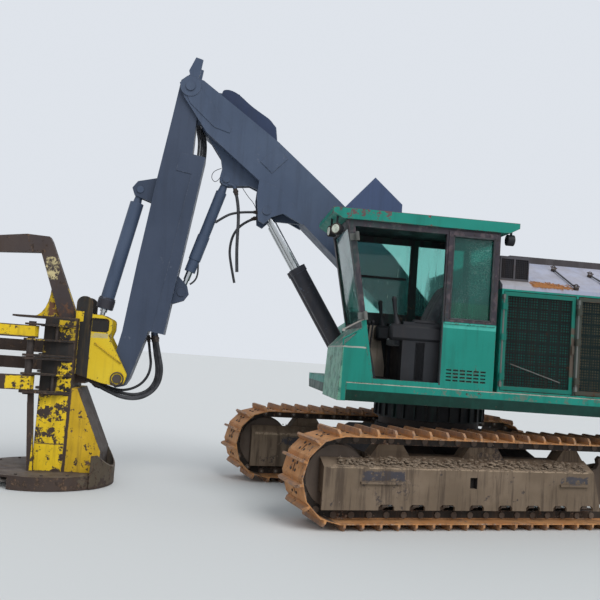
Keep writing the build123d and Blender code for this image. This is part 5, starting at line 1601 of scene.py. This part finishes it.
@dataclass
class Arms(Assembly):
    """The boom, the stick and their cylinders."""

    body: ClassVar[Body] = Body.BOOM
    nodes: ClassVar[dict[str, str]] = {
        "boom": "boom_paint", "elbow_pin": "boom_paint", "stick_base_pin": "boom_paint",
        "boom_valve_box": "valve_box_paint", "boom_foot_bracket": "bracket_paint",
        "boom_foot_pin": "pin_steel", "hoist_bracket": "bracket_paint", "hoist_base_pin": "pin_steel",
        "hoist_barrels": "barrel_paint",
        "hoist_rods": "rod_chrome", "stick": "stick_paint", "tilt_base_pin": "boom_paint",
        "stick_cylinder_barrel": "boom_paint", "stick_cylinder_rod": "rod_chrome",
        "tilt_cylinder_barrel": "boom_paint", "tilt_cylinder_rod": "rod_chrome"}
    guard: Sequence[Flat] = ((2.8, 4.7), (2.785, 4.752), (2.693, 4.758), (2.581, 4.707), (2.448, 4.595),
                             (2.302, 4.508), (2.188, 4.441), (2.127, 4.36), (2.104, 4.267), (2.096, 4.165))
    guard_foot: Sequence[Flat] = ((2.11, 4.03), (2.72, 4.5))
    guard_face: float = 0.041
    guard_thick: float = 0.008
    stick_pins: tuple[Flat, Flat] = ((2.665, 3.66), (3.086, 2.266))
    tilt_pins: tuple[Flat, Flat] = ((3.66, 3.44), (4.0, 1.81))
    stick_neck: Flat = (0.07, 0.175)
    tilt_neck: Flat = (0.08, 0.18)
    neck_radius: float = 0.042
    neck_flare: float = 1.25
    collar: float = 0.1
    collar_long: float = 0.11
    collar_lip: Flat = (0.02, 0.006)
    collar_gap: float = 0.004
    boom_ends: Sequence[tuple[Point, Point, float]] = (
        ((2.552, 0.06, 3.555), (2.53, 0.06, 3.484), 0.026),
        ((2.255, -0.075, 3.257), (2.325, -0.075, 3.228), 0.021),
        ((2.25, 0.05, 3.3), (2.31, 0.05, 3.297), 0.02))
    stick_ends: Sequence[tuple[Point, Point, float]] = (
        ((3.33, 0.09, 1.735), (3.312, 0.09, 1.663), 0.026),
        ((3.374, -0.04, 1.735), (3.358, -0.04, 1.66), 0.026),
        ((3.349, 0.042, 1.735), (3.333, 0.042, 1.658), 0.026),
        ((3.434, -0.09, 1.735), (3.421, -0.09, 1.655), 0.021))
    nut: tuple[float, float, float] = (0.3, 0.62, 1.25)
    elbow: Flat = (3.17, 4.7)
    elbow_face: float = 0.2095

    def build_guard(self) -> None:
        """Bend the smooth guard plate over the hump behind the elbow."""
        plate = Shape()
        line = rounded(self.guard) + list(self.guard_foot)
        plate.plate([(x, self.guard_face, z) for x, z in line], (0.0, self.guard_thick, 0.0))
        self.add(plate, "boom_guard", "guard_paint", "slate_paint")

    def barrel_line(self, pins: tuple[Flat, Flat]) -> tuple[Vector, Vector]:
        """Return a cylinder's upper pin and the way down to its lower one."""
        upper, lower = (Vector((x, 0.0, z)) for x, z in pins)
        return upper, (lower - upper).normalized()

    def build_necks(self) -> None:
        """Thicken the necks between the cylinders' eyes and their barrels."""
        for name, body, pins, (start, end) in (
                ("stick_barrel_neck", Body.STICK_BARREL, self.stick_pins, self.stick_neck),
                ("tilt_barrel_neck", Body.TILT_BARREL, self.tilt_pins, self.tilt_neck)):
            neck = Shape()
            base, way = self.barrel_line(pins)
            wide = self.neck_radius * self.neck_flare
            neck.rod(base + way * start, base + way * end, self.neck_radius, 20, wide)
            self.add(neck, name, "boom_paint", "cylinder_paint", True, body)

    def build_collar(self) -> None:
        """Thicken the foot of the tilt cylinder's barrel, where its gland screws in."""
        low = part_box("tilt_cylinder_barrel")[0].z
        base, way = self.barrel_line(self.tilt_pins)
        foot = base + way * ((base.z - low - self.collar * abs(way.x)) / abs(way.z) - self.collar_gap)
        collar = Shape()
        top = foot - way * self.collar_long
        collar.rod(top, foot, self.collar, 28)
        lip = foot - way * (self.collar_long + self.collar_lip[0])
        collar.rod(lip, top, self.collar - self.collar_lip[1], 28)
        self.add(collar, "tilt_barrel_collar", "barrel_paint", "cylinder_paint", True, Body.TILT_BARREL)

    def build_fittings(self) -> None:
        """Add the steel hose ends at the boom's lugs and under the stick."""
        near, far, wide = self.nut
        for name, body, ends in (("boom_fittings", Body.BOOM, self.boom_ends),
                                 ("stick_fittings", Body.STICK, self.stick_ends)):
            shape = Shape()
            for start, end, radius in ends:
                shape.rod(start, end, radius, 12)
                nut = (Vector(start).lerp(Vector(end), share) for share in (near, far))
                shape.rod(*nut, radius * wide, 6)
            self.add(shape, name, "pin_steel", "pin_steel", True, body)

    def build_rings(self) -> None:
        """Raise the rings on the elbow's ends."""
        rings = Shape()
        for side in (-1, 1):
            rings.ring((self.elbow[0], side * self.elbow_face, self.elbow[1]), LEFT, 0.04, 0.004)
        self.add(rings, "elbow_rings", "boom_paint", "slate_paint", True)

    steps: ClassVar[Steps] = (build_guard, build_necks, build_collar, build_fittings, build_rings)


@dataclass
class FellingHead(Assembly):
    """The felling head at the stick's end."""

    body: ClassVar[Body] = Body.HEAD
    nodes: ClassVar[dict[str, str]] = {
        "wrist_bracket": "bracket_yellow", "wrist_pin": "pin_steel", "head_tower": "tower_paint",
        "arm_pins": "pin_steel", "head_horn": "horn_paint", "saw_housing": "housing_paint",
        "saw_disc": "saw_steel", "lower_grab_arm": "arm_paint", "lower_return_arm": "arm_paint",
        "upper_grab_arm": "arm_paint", "upper_return_arm": "arm_paint"}
    wrist: Flat = (3.72, 1.21)
    wrist_face: float = 0.214
    wrist_ring: Flat = (0.071, 0.007)
    hose_ends: Sequence[Flat] = ((0.09, 1.14), (-0.04, 1.14), (0.042, 1.128), (-0.09, 1.15))
    spacer: Flat = (4.4, 0.35)
    spacer_rows: Sequence[Flat] = ((1.03, 1.202), (1.402, 1.424), (1.602, 1.75))
    spacer_radius: float = 0.02
    seam: tuple[Flat, Flat] = ((4.007, 1.599), (3.69, 1.385))
    seam_face: float = 0.206
    saw_centre: float = 4.45
    bolts: int = 14
    bolt_ring: float = 0.66
    bolt_height: float = 0.149

    def build_wrist(self) -> None:
        """Put the dark rings round the ends of the wrist pin."""
        rings = Shape()
        for side in (-1, 1):
            rings.ring((self.wrist[0], side * self.wrist_face, self.wrist[1]), LEFT, *self.wrist_ring, 36)
        self.add(rings, "wrist_rings", "pin_steel", "pin_steel", True)

    def build_fittings(self) -> None:
        """Add the hose ends on the block and the spacers between the plates."""
        fittings, spacers = Shape(), Shape()
        for y, z in self.hose_ends:
            fittings.rod((3.925, y, z - 0.032), (4.0, y, z + 0.004), 0.025, 12)
            fittings.rod((3.955, y, z - 0.018), (3.98, y, z - 0.005), 0.031, 6)
        self.add(fittings, "head_fittings", "pin_steel", "pin_steel", True)
        x, face = self.spacer
        for side in (-1, 1):
            for low, high in self.spacer_rows:
                spacers.rod((x, side * face, low), (x, side * face, high), self.spacer_radius, 12)
        self.add(spacers, "plate_spacers", "pin_steel", "pin_steel", True)

    def build_seams(self) -> None:
        """Run the welded seam along each side of the wrist bracket."""
        seams = Shape()
        for side in (-1, 1):
            seams.rod(*((x, side * self.seam_face, z) for x, z in self.seam), 0.006, 8)
        self.add(seams, "bracket_seams", "bracket_yellow", "head_yellow", True)

    def build_bolts(self) -> None:
        """Bolt the saw housing's cover round its edge."""
        bolts = Shape()
        for i in range(self.bolts):
            angle = math.pi * (0.15 + 1.7 * i / (self.bolts - 1))
            place = (self.saw_centre + self.bolt_ring * math.cos(angle), self.bolt_ring * math.sin(angle))
            bolts.bolt((*place, self.bolt_height), UP, 0.017, 0.012)
        self.add(bolts, "housing_bolts", "pin_steel", "pin_steel")

    steps: ClassVar[Steps] = (build_wrist, build_fittings, build_seams, build_bolts)


def main() -> None:
    """Build the scene in order."""
    Viewpoint().make_camera()
    Studio().build()
    finishes = Finishes(Effects())
    log.info("camera, studio and finishes are set")
    for part in (Hoses, Undercarriage, EngineHouse, Cab, Arms, FellingHead):
        part(finishes).build()


if __name__ == "__main__":
    main()
